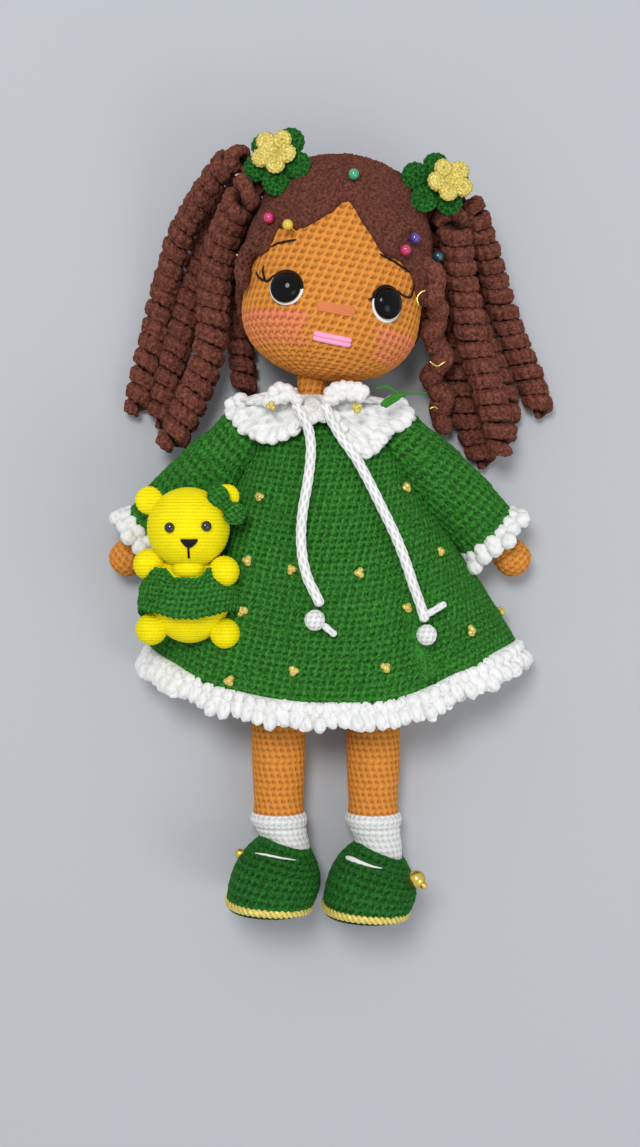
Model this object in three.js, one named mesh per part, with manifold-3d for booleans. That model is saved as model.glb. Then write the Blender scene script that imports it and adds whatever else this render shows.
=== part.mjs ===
// Crocheted doll lying on its back, in millimetres.
// +Z points up from the table to the face, +Y from the feet to the head, +X to the doll's left hand.
// The origin lies on the table, under the middle of the dress.

import * as THREE from 'three';
import { mergeVertices } from 'three/addons/utils/BufferGeometryUtils.js';
import Module from 'manifold-3d';

const wasm = await Module();
wasm.setup();

// Clearances that every piece shares
const GAP = 0.35;
const SOCKET_GAP = 0.9;
const OVERRUN = 5;
const TABLE_FLAT = 0.5;

// Facets of the round forms
const BIG_SIDES = 18;
const BIG_ROWS = 9;
const ROUND_SIDES = 12;
const BALL_SIDES = 10;
const BALL_ROWS = 7;
const SMALL_SIDES = 8;
const SMALL_ROWS = 5;
const PIN_SIDES = 5;
const HOLE_SIDES = 4;

// Torso, neck and the rod that keeps the neck from folding
const TORSO_TOP_Y = 61;
const TORSO_LENGTH = 76;
const TORSO_WIDTH = 56;
const TORSO_DEPTH = 35;
const TORSO_Z = 23;
const NECK_X = -3;
const NECK_Z = 28;
const NECK_RADIUS = 5.2;
const NECK_END_Y = 75.5;
const NECK_ROOT_LENGTH = 14;
const NECK_ROD_RADIUS = 2;
const NECK_ROD_IN_TORSO = 30;
const NECK_ROD_IN_HEAD = 26;
const NECK_ROOT_SHARE = 0.1;
const TORSO_ROUND_POWER = 0.85;
// Along, half width and half depth, as shares of the torso's length, width and depth
const TORSO_SHARES = [
  [0.02, 0.16, 0.22], [0.07, 0.33, 0.36], [0.14, 0.45, 0.44], [0.27, 0.48, 0.47], [0.45, 0.47, 0.48],
  [0.65, 0.5, 0.5], [0.82, 0.47, 0.47], [0.94, 0.34, 0.34], [0.99, 0.17, 0.18],
];

// Head: an egg with a low, wide chin, rolled to the doll's left and turned a little
const HEAD_WIDTH = 67.2;
const HEAD_HEIGHT = 84;
const HEAD_DEPTH = 62;
const HEAD_WIDEST_SHARE = 0.31;
const HEAD_CROWN_POWER = 2.6;
const HEAD_CHIN_POWER = 2.2;
const HEAD_SHIFT = 3.2;
const HEAD_SINK = 3;
const HEAD_ROLL = THREE.MathUtils.degToRad(8.5);
const HEAD_TURN = THREE.MathUtils.degToRad(4);

// Wig cap, sewn on as one crocheted cap with a pointed hairline
const WIG_THICKNESS = 3;
const WIG_NAPE_SHARE = 0.1;
const WIG_BACK_EDGE_SHARE = 0.75;
const WIG_EAR_SHARE = 0.44;
const WIG_FRONT_DEPTH = 4;
// Across as shares of half the head's width, up as shares of its height
const HAIRLINE_SHARES = [
  [-1.4, 0.36], [-0.98, 0.36], [-0.93, 0.47], [-0.74, 0.56], [-0.51, 0.61], [-0.21, 0.69], [-0.07, 0.76],
  [0.09, 0.71], [0.25, 0.635], [0.39, 0.575], [0.62, 0.56], [0.8, 0.545], [0.98, 0.53], [1.4, 0.53],
];
const TENDRIL_RADIUS = 3.2;
const TENDRIL_LENGTH = 18.5;
const TENDRIL_SINK_SHARE = 0.4;
const TENDRIL_TAPER_SHARES = [1, 1, 0.9, 0.5];
const TENDRIL_DIRECTION = [-62, 29];
const TENDRIL_POINT_SHARES = [[0.02, 0], [-0.17, -0.35], [-0.19, -0.7], [-0.12, -1]];

// Safety eyes: a domed shell on a stem, a white felt disc behind it and a washer inside the head
const EYE_RADIUS = 6;
const EYE_DOME = 3.6;
const EYE_RIM = 0.8;
// Height and radius round an eye or a pin's head, as shares of its height and radius
const DOME_SHARES = [[0, 1], [0.45, 0.89], [0.83, 0.56], [1, 0]];
const PIN_HEAD_SHARES = [[0.12, 0.75], [0.5, 1], [0.88, 0.66], [1, 0]];
const EYE_AZIMUTH = THREE.MathUtils.degToRad(33.7);
const EYE_HEIGHT_SHARE = 0.36;
const EYE_STEM_RADIUS = 2;
const EYE_STEM_LENGTH = 11;
const EYE_WHITE_RADIUS = 6.7;
const EYE_WHITE_THICKNESS = 0.8;
const EYE_WHITE_DROP = 1.1;
const EYE_SEAT_DEPTH = 1;
const WASHER_RADIUS = 6;
const WASHER_THICKNESS = 1.4;

// Ball-headed pins that still hold the hair, with azimuth and elevation in degrees on the wig
const PIN_HEAD_RADIUS = 2;
const PIN_SHAFT_RADIUS = 0.45;
const PIN_SHAFT_LENGTH = 13;
const PINS = [
  { name: 'pin_green', direction: [-3, 56], colour: '#2f9a6c' },
  { name: 'pin_pink_right', direction: [-55, 38], colour: '#c2155f' },
  { name: 'pin_yellow', direction: [-37, 36], colour: '#d8b62c' },
  { name: 'pin_pink_left', direction: [43, 35], colour: '#c2155f' },
  { name: 'pin_purple', direction: [53, 40], colour: '#47318a' },
  { name: 'pin_teal', direction: [76, 37], colour: '#1d4a52' },
];

// Bunches: a round base on each side of the wig that four curled locks hang from
const HUB_RADIUS = 7.5;
const HUB_ACROSS = 32.5;
const HUB_UP_SHARE = 0.881;
const HUB_FORWARD = 2;
const LOCK_REACH = 100;
const LOCK_YARN_RADIUS = 2.9;
const LOCK_COIL_RADIUS = 2.4;
const LOCK_TABLE_GAP = 0.7;
const SIDE_LOCK_YARN_RADIUS = 3.4;
const SIDE_LOCK_COIL_RADIUS = 2.2;
const CURL_STEPS = 8;
const CURL_ROUTE_STEPS = 400;
const CURL_OWN_STRETCH_SHARE = 3;
const CURL_SIDES = 5;
// Across and along from the base as shares of the reach; the third is the height, 1 at the base and 0 at rest
const LOCKS = [
  {
    name: 'lock_right_1', side: -1, turns: 8,
    routeShares: [
      [-0.11, 0.06, 1.06], [-0.24, 0.02, 0.72], [-0.335, -0.115, 0.375], [-0.415, -0.309, 0.11],
      [-0.47, -0.486, 0], [-0.518, -0.693, 0], [-0.532, -0.85, 0],
    ],
  },
  {
    name: 'lock_right_2', side: -1, turns: 7,
    routeShares: [
      [-0.09, -0.02, 0.62], [-0.205, -0.13, 0.16], [-0.275, -0.263, 0], [-0.322, -0.406, 0],
      [-0.362, -0.542, 0], [-0.392, -0.661, 0], [-0.426, -0.85, 0],
    ],
  },
  {
    name: 'lock_right_3', side: -1, turns: 8,
    routeShares: [
      [-0.06, -0.075, 1.21], [-0.135, -0.18, 0.95], [-0.181, -0.29, 0.73], [-0.207, -0.43, 0.58],
      [-0.222, -0.586, 0.5], [-0.25, -0.712, 0.45], [-0.296, -0.835, 0.41], [-0.364, -0.97, 0.37],
    ],
  },
  {
    name: 'lock_right_4', side: -1, turns: 5,
    routeShares: [
      [-0.07, -0.11, 0.78], [-0.13, -0.21, 0.45], [-0.16, -0.33, 0.14], [-0.142, -0.47, 0],
      [-0.108, -0.62, 0], [-0.095, -0.79, 0],
    ],
  },
  {
    name: 'lock_left_1', side: 1, turns: 7,
    routeShares: [
      [0.1, -0.008, 0.98], [0.19, -0.11, 0.64], [0.226, -0.19, 0.44], [0.263, -0.29, 0.24],
      [0.304, -0.401, 0.09], [0.358, -0.526, 0], [0.408, -0.645, 0], [0.442, -0.75, 0],
    ],
  },
  {
    name: 'lock_left_2', side: 1, turns: 8,
    routeShares: [
      [0.046, -0.068, 1.15], [0.098, -0.218, 0.925], [0.117, -0.309, 0.77], [0.137, -0.408, 0.67],
      [0.163, -0.521, 0.6], [0.197, -0.617, 0.56], [0.228, -0.718, 0.54], [0.252, -0.811, 0.52],
      [0.27, -0.9, 0.46],
    ],
  },
  {
    name: 'lock_left_3', side: 1, turns: 6,
    routeShares: [
      [0, -0.11, 0.56], [0.03, -0.21, 0.2], [0.055, -0.33, 0.03], [0.075, -0.48, 0],
      [0.13, -0.64, 0], [0.162, -0.8, 0], [0.18, -0.92, 0],
    ],
  },
  {
    name: 'lock_left_4', side: 1, turns: 6,
    routeShares: [
      [0.12, -0.05, 0.5], [0.165, -0.15, 0.2], [0.172, -0.29, 0.03], [0.2, -0.43, 0],
      [0.252, -0.56, 0], [0.297, -0.69, 0], [0.312, -0.79, 0], [0.314, -0.87, 0],
    ],
  },
];
const SIDE_LOCK_DIRECTION = [66, 25];
const SIDE_LOCK_TURNS = 4;
const SIDE_LOCK_ROUTE_SHARES = [
  [0.07, -0.03, 1.02], [0.06, -0.13, 0.8], [0.055, -0.25, 0.56], [0.055, -0.38, 0.34],
  [0.07, -0.48, 0.14], [0.095, -0.56, 0.02],
];

// Flowers over the bases: five green lobes under five gold petals
const LEAF_RADIUS = 13;
const LEAF_THICKNESS = 3;
const GOLD_RADIUS = 9.4;
const GOLD_THICKNESS = 3.4;
const FLOWER_OFFSET_X = 4.2;
const FLOWER_OFFSET_Y = 4.4;
const FLOWER_LIFT = 5.6;
const FLOWER_STALK_RADIUS = 4;
const FLOWER_PETALS = 5;
const PETAL_STEPS = 4;
const PETAL_POWER = 0.7;
const FLOWER_DIP_SHARE = 0.36;
// Reach and height of a petal's edge, as shares of the flower's radius and thickness
const FLOWER_EDGE_SHARES = [[0.86, 0], [1, 0.45], [0.7, 1]];
const FLOWER_HEART_SHARE = 0.8;
const FLOWER_SEAT_SHARE = 0.55;
const GOLD_SPIN = 0.5;
const FLOWER_SPINS = { right: 0.52, left: 0.2 };

// Dress: a flared crocheted shell, flat at the back, with a hem that rises to its sides
const DRESS_TOP_Y = 64;
const DRESS_LENGTH = 115;
const DRESS_HEM_WIDTH = 145;
const DRESS_DEPTH = 50;
const DRESS_WALL = 3;
const DRESS_SHIFT = 5;
const DRESS_SIDE_RISE_SHARE = 0.19;
const DRESS_EDGE_LEVEL_SHARE = 0.18;
const DRESS_ARCH_POWER = 2.2;
const DRESS_EDGE_TURN_SHARE = 1.6;
const DRESS_SIDES = 24;
const SKIRT_START_SHARE = 0.48;
// Along, half width, top and bottom, as shares of the dress's length, half hem width and depth
const DRESS_SHARES = [
  [0, 0.18, 0.78, 0.28], [0.05, 0.3, 0.84, 0.16], [0.11, 0.405, 0.88, 0.06], [0.16, 0.43, 0.92, 0],
  [0.3, 0.51, 0.96, 0], [0.505, 0.655, 1, 0], [0.634, 0.745, 0.98, 0], [0.86, 0.91, 0.94, 0], [1, 1, 0.9, 0],
];

// Hem and cuff frills
const HEM_HEIGHT = 9;
const HEM_THICKNESS = 3;
const HEM_WAVE = 1.6;
const HEM_FLARE = 1.5;
const HEM_RIPPLE_SHARE = 0.12;
const HEM_SLOPE_SHARE = 0.03;
const HEM_BEVEL_SHARE = 0.25;
const HEM_STEPS = 60;
const HEM_WAVES = 15;
const CUFF_LENGTH = 7;
const CUFF_RADIUS = 13;
const CUFF_WALL = 4.5;
const CUFF_STEPS = 28;
const CUFF_WAVES = 7;
const CUFF_WAVE = 0.9;

// Arms in their sleeves, hinged at the shoulders
const SHOULDER_X = 31;
const SHOULDER_Y = 51;
const SHOULDER_Z = 24;
const ARM_LENGTH = 64.5;
const ARM_SPREAD = THREE.MathUtils.degToRad(45);
const ARM_DROP = 11.5;
const ARM_BALL_RADIUS = 9;
// Along the sleeve and radius of the upper arm, then back from the hand's middle, as shares of the hand
const ARM_SHARES = [[0, 0.9], [0.3, 1], [0.7, 0.96]];
const HAND_SHARES = [[-0.6, 0.86], [0, 1], [0.55, 0.83], [0.9, 0.42], [1, 0]];
const WRIST_BACK_SHARE = 1.3;
const ARM_RADIUS = 6.8;
const WRIST_RADIUS = 5.6;
const HAND_RADIUS = 7.1;
const SLEEVE_BALL_RADIUS = 11.3;
const SLEEVE_RADIUS = 13.4;
const SLEEVE_WALL = 2.6;
const SLEEVE_LENGTH_SHARE = 0.78;
// Along the sleeve and radius, as shares of its length and its greatest radius
const SLEEVE_SHARES = [[0, 0.82], [0.2, 0.91], [0.5, 1], [0.8, 0.98], [1, 0.9]];
const ARM_SWEEP_ROOT_RADIUS = 19.3;
const ARM_SWEEP_SLOPE_SHARE = 1.08;
const ARM_SWEEP_LENGTH = 60;

// Collar: a frill round the neck with two lobes lying on the chest
const COLLAR_NECK_Y = 71;
const COLLAR_HALF_WIDTH = 33;
const COLLAR_OUTER_Y = 63;
const COLLAR_LOBE_DROP = 14;
const COLLAR_FRONT = 21;
const COLLAR_BACK = 20;
const COLLAR_THICKNESS = 3.2;
const COLLAR_NOTCH_SHARE = 0.28;
const COLLAR_WAVE = 1.2;
const COLLAR_STEPS = 24;
const COLLAR_WAVES = 8;
// Where the collar bends, and how round its lobes are
const COLLAR_BEND_SHARE = 0.55;
const COLLAR_BEND_DROP_SHARE = 0.35;
const COLLAR_LOBE_POWER = 0.8;

// Drawstrings from the collar, with a bobble and a short end each; the routes are points on the dress front
const TIE_DIAMETER = 3.6;
const TIE_SIDES = 8;
const TIE_STEP = 9;
const BOBBLE_RADIUS = 4;
const BOBBLE_TAIL_RADIUS = 1.2;
const BOBBLE_TAIL_LENGTH = 9;
const TIE_ROUTES = {
  right: [
    [-4.5, 56, 48.7], [-3.6, 50, 49.6], [-3.4, 44, 50.4], [-4.4, 34.6, 51.6], [-6.3, 23.3, 52.4],
    [-7, 14.2, 52.8], [-6.3, 5, 52.8], [-4.4, -2.4, 52.6], [-1.9, -9.8, 52],
  ],
  left: [
    [4.6, 55.4, 48.7], [7.6, 51, 49.4], [13, 43.2, 49.8], [17.8, 34.6, 50.2], [23.3, 23.5, 50.2],
    [27.8, 14.2, 49.8], [31.5, 5, 49.4], [34.4, -4.3, 48.6], [37, -13.5, 47.2],
  ],
};
const TIE_TAIL_ANGLES = { right: -40, left: 18 };

// Legs, socks and shoes, hinged at the hips inside the skirt
const LEG_MIDDLE_X = 2.3;
const LEG_SPREAD = 18.6;
const HIP_Y = -5;
const HIP_Z = 16;
const HIP_RADIUS = 10;
const LEG_LIFT = THREE.MathUtils.degToRad(15);
const LEG_RADIUS = 10.1;
const LEG_ANKLE_RADIUS = 9;
// Along and radius, as shares of the knob at the hip and then of the leg's length and radius
const KNOB_SHARES = [[-1, 0], [-0.86, 0.51], [-0.5, 0.866], [0, 1]];
const LEG_SHARES = [[0.3, 1], [0.7, 1.02], [0.9, 0.92]];
const LEG_CUP_CLEARANCE = 0.62;
const LEG_END_Y = -100.5;
const LEG_END_Z = 13;
const SOCK_TOP_Y = -94.8;
const SOCK_RADIUS = 10.2;
const SOCK_ROLL = 0.8;
const SOCK_ROLL_LENGTH = 4;
const SHOE_TOP_Y = -102;
const SHOE_HEIGHT = 34;
const SHOE_WIDTH = 35;
const SHOE_LENGTH = 46;
const SHOE_WALL = 2.6;
const SHOE_SIDES = 14;
const SHOE_WIDTH_POWER = 0.9;
const SHOE_LENGTH_POWER = 0.8;
const SHOE_FILL_SHARE = 0.5;
const SHOE_SHIFT = -3.4;
const SHOE_SLIT_WIDTH = 15;
const SHOE_SLIT_HEIGHT = 1.6;
const SHOE_SLIT_DROP = 7.2;
const BEAD_RADII = { right: 2, left: 3.4 };
const BEAD_STAND_SHARE = 0.6;
// Place of a bead as shares of the shoe's shift, width, height and length
const BEAD_SHARES = [0.5, 0.46, 0.33, 0.52];
// Down, half width, front and back, as shares of the shoe's height, half width and length
const SHOE_SHARES = [
  [0, 0.7, 0.55, 0.03], [0.12, 0.79, 0.65, 0.01], [0.3, 0.92, 0.86, 0], [0.5, 0.99, 0.97, 0],
  [0.75, 1, 1, 0], [0.94, 0.98, 0.99, 0.005], [1, 0.9, 0.95, 0.03],
];

// Toy bear that lies on the right sleeve and the skirt
const BEAR_X = -49;
const BEAR_HEAD_Y = 17;
const BEAR_HEAD_Z = 47;
const BEAR_HEAD_WIDTH = 30.6;
const BEAR_HEAD_HEIGHT = 30;
const BEAR_HEAD_DEPTH = 27;
const BEAR_EAR_RADIUS = 5.6;
const BEAR_EAR_THICKNESS = 5;
const BEAR_BODY_Y = -9;
const BEAR_BODY_Z = 41;
const BEAR_BODY_WIDTH = 30;
const BEAR_BODY_HEIGHT = 34;
const BEAR_BODY_DEPTH = 24;
const BEAR_ARM_RADIUS = 6.1;
const BEAR_LEG_RADIUS = 6.4;
const BEAR_TOP_WALL = 3;
const BEAR_LIMB_LIFT_SHARE = 0.4;
const BEAR_BOW_WIDTH = 15;
const BEAR_BOW_THICKNESS = 4;
// Places round the bear as shares of its head's or body's half width and half height
const BEAR_EAR_SHARES = [0.98, 0.66];
const BEAR_ARM_SHARES = [1.02, 0.76];
const BEAR_LEG_SHARES = [0.92, -0.78];
const BEAR_TOP_SHARES = [-0.56, 0.66];
const BEAR_BOW_SHARES = [0.84, 0.8, 0.44];
const BEAR_BOW_LOBE_SHARES = [0.22, 0.3, 0.22];
const BEAR_BOW_TURN = THREE.MathUtils.degToRad(-51);

// Colours and finishes
const YARN_ROUGHNESS = 0.95;
const PIN_ROUGHNESS = 0.15;
const finish = (color, roughness, metalness) => new THREE.MeshStandardMaterial({ color, roughness, metalness });
const yarn = (colour) => finish(colour, YARN_ROUGHNESS, 0);
const MATERIALS = {
  skin: yarn('#d0883c'),
  hair: yarn('#5e3125'),
  green: yarn('#23702a'),
  leaf: yarn('#1e7a28'),
  white: yarn('#e9ebea'),
  bear: yarn('#f4e000'),
  gold: finish('#e3cc5a', 0.5, 0.4),
  bead: finish('#d8b84a', 0.25, 0.6),
  eye: finish('#0b0b0d', 0.06, 0),
  nylon: finish('#e8e8e4', 0.5, 0),
  rod: finish('#b9b9b4', 0.4, 0.9),
};

// Plain tools for closed surfaces and for cutting them
const FULL_TURN = 2 * Math.PI;
const MERGE_DISTANCE = 0.00001;
const NORMAL_STEP = 0.01;
const STEEP_SHARE = 0.9;
const vector = (x, y, z) => new THREE.Vector3(x, y, z);
const roundPower = (value, power) => Math.sign(value) * Math.abs(value) ** power;
const mix = THREE.MathUtils.lerp;
const middleOf = (points) => points
  .reduce((sum, point) => sum.add(point), vector(0, 0, 0))
  .divideScalar(points.length);

function geometryOf(points, faces) {
  const geometry = new THREE.BufferGeometry();
  const numbers = points.flatMap((point) => point.toArray());
  geometry.setAttribute('position', new THREE.Float32BufferAttribute(numbers, 3));
  let volume = 0;
  for (let face = 0; face < faces.length; face += 3) {
    const [a, b, c] = faces.slice(face, face + 3).map((index) => points[index]);
    volume += a.dot(b.clone().cross(c));
  }
  geometry.setIndex(volume < 0 ? faces.slice().reverse() : faces);
  geometry.computeVertexNormals();
  return geometry;
}

// A closed skin over rows of points, with a point at each end
function closedSkin(first, rows, last) {
  const across = rows[0].length;
  const at = (row, column) => 1 + row * across + (column % across);
  const end = 1 + rows.length * across;
  const faces = [];
  for (let column = 0; column < across; column += 1) {
    faces.push(0, at(0, column + 1), at(0, column));
    faces.push(end, at(rows.length - 1, column), at(rows.length - 1, column + 1));
    for (let row = 0; row + 1 < rows.length; row += 1) {
      faces.push(at(row, column), at(row, column + 1), at(row + 1, column));
      faces.push(at(row + 1, column), at(row, column + 1), at(row + 1, column + 1));
    }
  }
  return geometryOf([first, ...rows.flat(), last], faces);
}

// A closed skin over loops that follow each other round a ring
function closedRing(loops) {
  const around = loops[0].length;
  const at = (loop, point) => (loop % loops.length) * around + (point % around);
  const faces = [];
  loops.forEach((_, loop) => {
    for (let point = 0; point < around; point += 1) {
      faces.push(at(loop, point), at(loop + 1, point), at(loop, point + 1));
      faces.push(at(loop + 1, point), at(loop + 1, point + 1), at(loop, point + 1));
    }
  });
  return geometryOf(loops.flat(), faces);
}

function solidOf(geometry) {
  const plain = geometry.clone();
  plain.deleteAttribute('normal');
  plain.deleteAttribute('uv');
  const merged = mergeVertices(plain, MERGE_DISTANCE);
  return new wasm.Manifold(new wasm.Mesh({
    numProp: 3,
    vertProperties: new Float32Array(merged.attributes.position.array),
    triVerts: new Uint32Array(merged.index.array),
  }));
}

function geometryFrom(solid) {
  const mesh = solid.getMesh();
  const geometry = new THREE.BufferGeometry();
  geometry.setAttribute('position', new THREE.Float32BufferAttribute(Array.from(mesh.vertProperties), 3));
  geometry.setIndex(Array.from(mesh.triVerts));
  geometry.computeVertexNormals();
  return geometry;
}

const cut = (body, ...tools) => tools.reduce((left, tool) => left.subtract(tool), body);
const join = (first, ...others) => others.reduce((whole, other) => whole.add(other), first);

// Two directions square to an axis
function squareTo(axis) {
  const helper = Math.abs(axis.z) < STEEP_SHARE ? vector(0, 0, 1) : vector(1, 0, 0);
  const across = helper.clone().cross(axis).normalize();
  return [across, axis.clone().cross(across).normalize()];
}

// A turned form: rows of [along, radius] round an axis that starts at a point
function turned(origin, axis, rows, sides) {
  const [across, up] = squareTo(axis);
  const ring = ([along, radius]) => Array.from({ length: sides }, (_, side) => {
    const angle = (side / sides) * FULL_TURN;
    return origin.clone().addScaledVector(axis, along)
      .addScaledVector(across, radius * Math.cos(angle)).addScaledVector(up, radius * Math.sin(angle));
  });
  const first = origin.clone().addScaledVector(axis, rows[0][0]);
  const last = origin.clone().addScaledVector(axis, rows[rows.length - 1][0]);
  const inner = rows.filter(([, radius]) => radius > 0);
  return closedSkin(first, inner.map(ring), last);
}

const rod = (from, to, radius, sides) => {
  const axis = to.clone().sub(from);
  const length = axis.length();
  return turned(from, axis.normalize(), [[0, radius], [length, radius]], sides);
};

const ball = (centre, x, y, z, sides, rows) =>
  new THREE.SphereGeometry(1, sides, rows).scale(x, y, z).translate(centre.x, centre.y, centre.z);

const roundBall = (centre, radius) =>
  solidOf(ball(centre, radius, radius, radius, BALL_SIDES, BALL_ROWS));

const box = (low, high) => new THREE.BoxGeometry(high.x - low.x, high.y - low.y, high.z - low.z)
  .translate((low.x + high.x) / 2, (low.y + high.y) / 2, (low.z + high.z) / 2);

// A tube over points, with a radius at each and a frame carried along without twist
function tubeAlong(points, radii, sides) {
  const tangents = points.map((_, index) => {
    const before = points[Math.max(index - 1, 0)];
    return points[Math.min(index + 1, points.length - 1)].clone().sub(before).normalize();
  });
  let [normal] = squareTo(tangents[0]);
  const rows = points.map((point, index) => {
    const tangent = tangents[index];
    normal = normal.clone().addScaledVector(tangent, -normal.dot(tangent)).normalize();
    const side = tangent.clone().cross(normal);
    return Array.from({ length: sides }, (_, corner) => {
      const angle = (corner / sides) * FULL_TURN;
      return point.clone().addScaledVector(normal, radii[index] * Math.cos(angle))
        .addScaledVector(side, radii[index] * Math.sin(angle));
    });
  });
  return closedSkin(points[0], rows, points[points.length - 1]);
}

// The doll and its pieces
const doll = new THREE.Group();

function addPiece(name, geometry, material, parent = doll) {
  const mesh = new THREE.Mesh(geometry, material);
  mesh.name = name;
  parent.add(mesh);
  return mesh;
}

const SIDES = { right: -1, left: 1 };

// The head's own frame: x across the face, y up its axis from the chin, z forward from its middle
const headFrame = new THREE.Group();
const wigReach = WIG_THICKNESS + GAP;
const headZ = HEAD_DEPTH / 2 + wigReach - TABLE_FLAT;
headFrame.position.set(NECK_X + HEAD_SHIFT, NECK_END_Y - HEAD_SINK, headZ);
headFrame.rotation.set(0, HEAD_TURN, -HEAD_ROLL, 'ZYX');
headFrame.updateMatrixWorld(true);
doll.add(headFrame);
const toHead = headFrame.matrixWorld.clone().invert();
const inHead = (geometry) => solidOf(geometry.clone().applyMatrix4(toHead));

// A point on the head, or on a skin outside it, in a direction from the middle of its widest ring
function headPoint(azimuth, elevation, offset) {
  const direction = vector(
    Math.sin(azimuth) * Math.cos(elevation),
    Math.sin(elevation),
    Math.cos(azimuth) * Math.cos(elevation),
  );
  const isCrown = direction.y > 0;
  const reachUp = HEAD_HEIGHT * (isCrown ? 1 - HEAD_WIDEST_SHARE : HEAD_WIDEST_SHARE) + offset;
  const power = isCrown ? HEAD_CROWN_POWER : HEAD_CHIN_POWER;
  const flat = Math.hypot(direction.x / (HEAD_WIDTH / 2 + offset), direction.z / (HEAD_DEPTH / 2 + offset));
  const reach = (flat ** power + (Math.abs(direction.y) / reachUp) ** power) ** (-1 / power);
  return direction.multiplyScalar(reach).add(vector(0, HEAD_HEIGHT * HEAD_WIDEST_SHARE, 0));
}

function headForm(offset) {
  const quarter = FULL_TURN / 4;
  const azimuths = Array.from({ length: BIG_SIDES }, (_, side) => (side / BIG_SIDES) * FULL_TURN);
  const rings = Array.from({ length: BIG_ROWS }, (_, row) => {
    const elevation = mix(-quarter, quarter, (row + 1) / (BIG_ROWS + 1));
    return azimuths.map((azimuth) => headPoint(azimuth, elevation, offset));
  });
  return closedSkin(headPoint(0, -quarter, offset), rings, headPoint(0, quarter, offset));
}

// Outward direction of the head's skin, from three points close together
function headNormal(azimuth, elevation, offset) {
  const point = headPoint(azimuth, elevation, offset);
  const aside = headPoint(azimuth + NORMAL_STEP, elevation, offset).sub(point);
  const above = headPoint(azimuth, elevation + NORMAL_STEP, offset).sub(point);
  return aside.cross(above).normalize();
}

// A frame on a surface whose z axis points out of it
function frameAt(point, outward, parent) {
  const frame = new THREE.Group();
  frame.position.copy(point);
  frame.quaternion.setFromUnitVectors(vector(0, 0, 1), outward);
  parent.add(frame);
  frame.updateMatrix();
  return frame;
}

const toRadians = (degrees) => degrees.map((angle) => THREE.MathUtils.degToRad(angle));
const upward = vector(0, 1, 0);
const forward = vector(0, 0, 1);

// Base of each bunch, in the head's frame and in the doll's
const hubLocal = (side) => vector(side * HUB_ACROSS, HUB_UP_SHARE * HEAD_HEIGHT, HUB_FORWARD);
const hubWorld = (side) => hubLocal(side).applyMatrix4(headFrame.matrixWorld);

// Dress surface at a share of its length and an angle round it, moved inwards by a wall
function dressPoint(along, angle, wall) {
  const last = DRESS_SHARES.length - 1;
  const found = DRESS_SHARES.findIndex((row) => row[0] >= along);
  const index = found < 0 ? last : Math.max(found, 1);
  const low = DRESS_SHARES[index - 1];
  const high = DRESS_SHARES[index];
  const part = (along - low[0]) / (high[0] - low[0]);
  const [, widthShare, topShare, bottomShare] = low.map((value, column) => mix(value, high[column], part));
  const halfWidth = widthShare * DRESS_HEM_WIDTH / 2 - wall;
  const top = topShare * DRESS_DEPTH - wall;
  const bottom = bottomShare * DRESS_DEPTH + wall;
  const level = mix(bottom, top, DRESS_EDGE_LEVEL_SHARE);
  const across = roundPower(Math.cos(angle), 2 / DRESS_ARCH_POWER);
  const rise = Math.sin(angle);
  const height = rise >= 0
    ? mix(level, top, rise ** (2 / DRESS_ARCH_POWER))
    : mix(level, bottom, Math.min(1, -rise * DRESS_EDGE_TURN_SHARE));
  const down = along * DRESS_LENGTH * (1 - DRESS_SIDE_RISE_SHARE * across * across);
  return vector(DRESS_SHIFT * along + halfWidth * across, DRESS_TOP_Y - down, height);
}

function dressForm(shares, wall) {
  const rings = shares.map((along) => Array.from(
    { length: DRESS_SIDES },
    (_, side) => dressPoint(along, (side / DRESS_SIDES) * FULL_TURN, wall),
  ));
  return closedSkin(middleOf(rings[0]), rings, middleOf(rings[rings.length - 1]));
}

const dressShares = DRESS_SHARES.map(([along]) => along);

// Arm direction and shoulder on each side
const shoulder = (side) => vector(side * SHOULDER_X, SHOULDER_Y, SHOULDER_Z);
const armAxis = (side) => {
  const flat = Math.sqrt(ARM_LENGTH ** 2 - ARM_DROP ** 2);
  return vector(side * flat * Math.sin(ARM_SPREAD), -flat * Math.cos(ARM_SPREAD), -ARM_DROP).normalize();
};
const sleeveLength = ARM_LENGTH * SLEEVE_LENGTH_SHARE;

function armForm(side) {
  const limb = turned(shoulder(side), armAxis(side), [
    ...ARM_SHARES.map(([along, radius]) => [sleeveLength * along, ARM_RADIUS * radius]),
    [ARM_LENGTH - HAND_RADIUS * WRIST_BACK_SHARE, WRIST_RADIUS],
    ...HAND_SHARES.map(([along, radius]) => [ARM_LENGTH + HAND_RADIUS * along, HAND_RADIUS * radius]),
  ], BALL_SIDES);
  return join(solidOf(limb), roundBall(shoulder(side), ARM_BALL_RADIUS));
}

function sleeveOuter(side, extra) {
  const rows = SLEEVE_SHARES.map(([along, radius]) => [
    (sleeveLength + extra) * along,
    SLEEVE_RADIUS * radius + extra,
  ]);
  const tube = turned(shoulder(side), armAxis(side), rows, ROUND_SIDES);
  return join(solidOf(tube), roundBall(shoulder(side), SLEEVE_BALL_RADIUS + extra));
}

function sleeveInner(side) {
  const rows = SLEEVE_SHARES.map(([along, radius], index) => [
    along < 1 ? sleeveLength * along : sleeveLength + OVERRUN,
    index < 2 ? ARM_RADIUS + GAP * 2 : SLEEVE_RADIUS * radius - SLEEVE_WALL,
  ]);
  const tube = turned(shoulder(side), armAxis(side), rows, ROUND_SIDES);
  return join(solidOf(tube), roundBall(shoulder(side), ARM_BALL_RADIUS + GAP));
}

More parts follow.
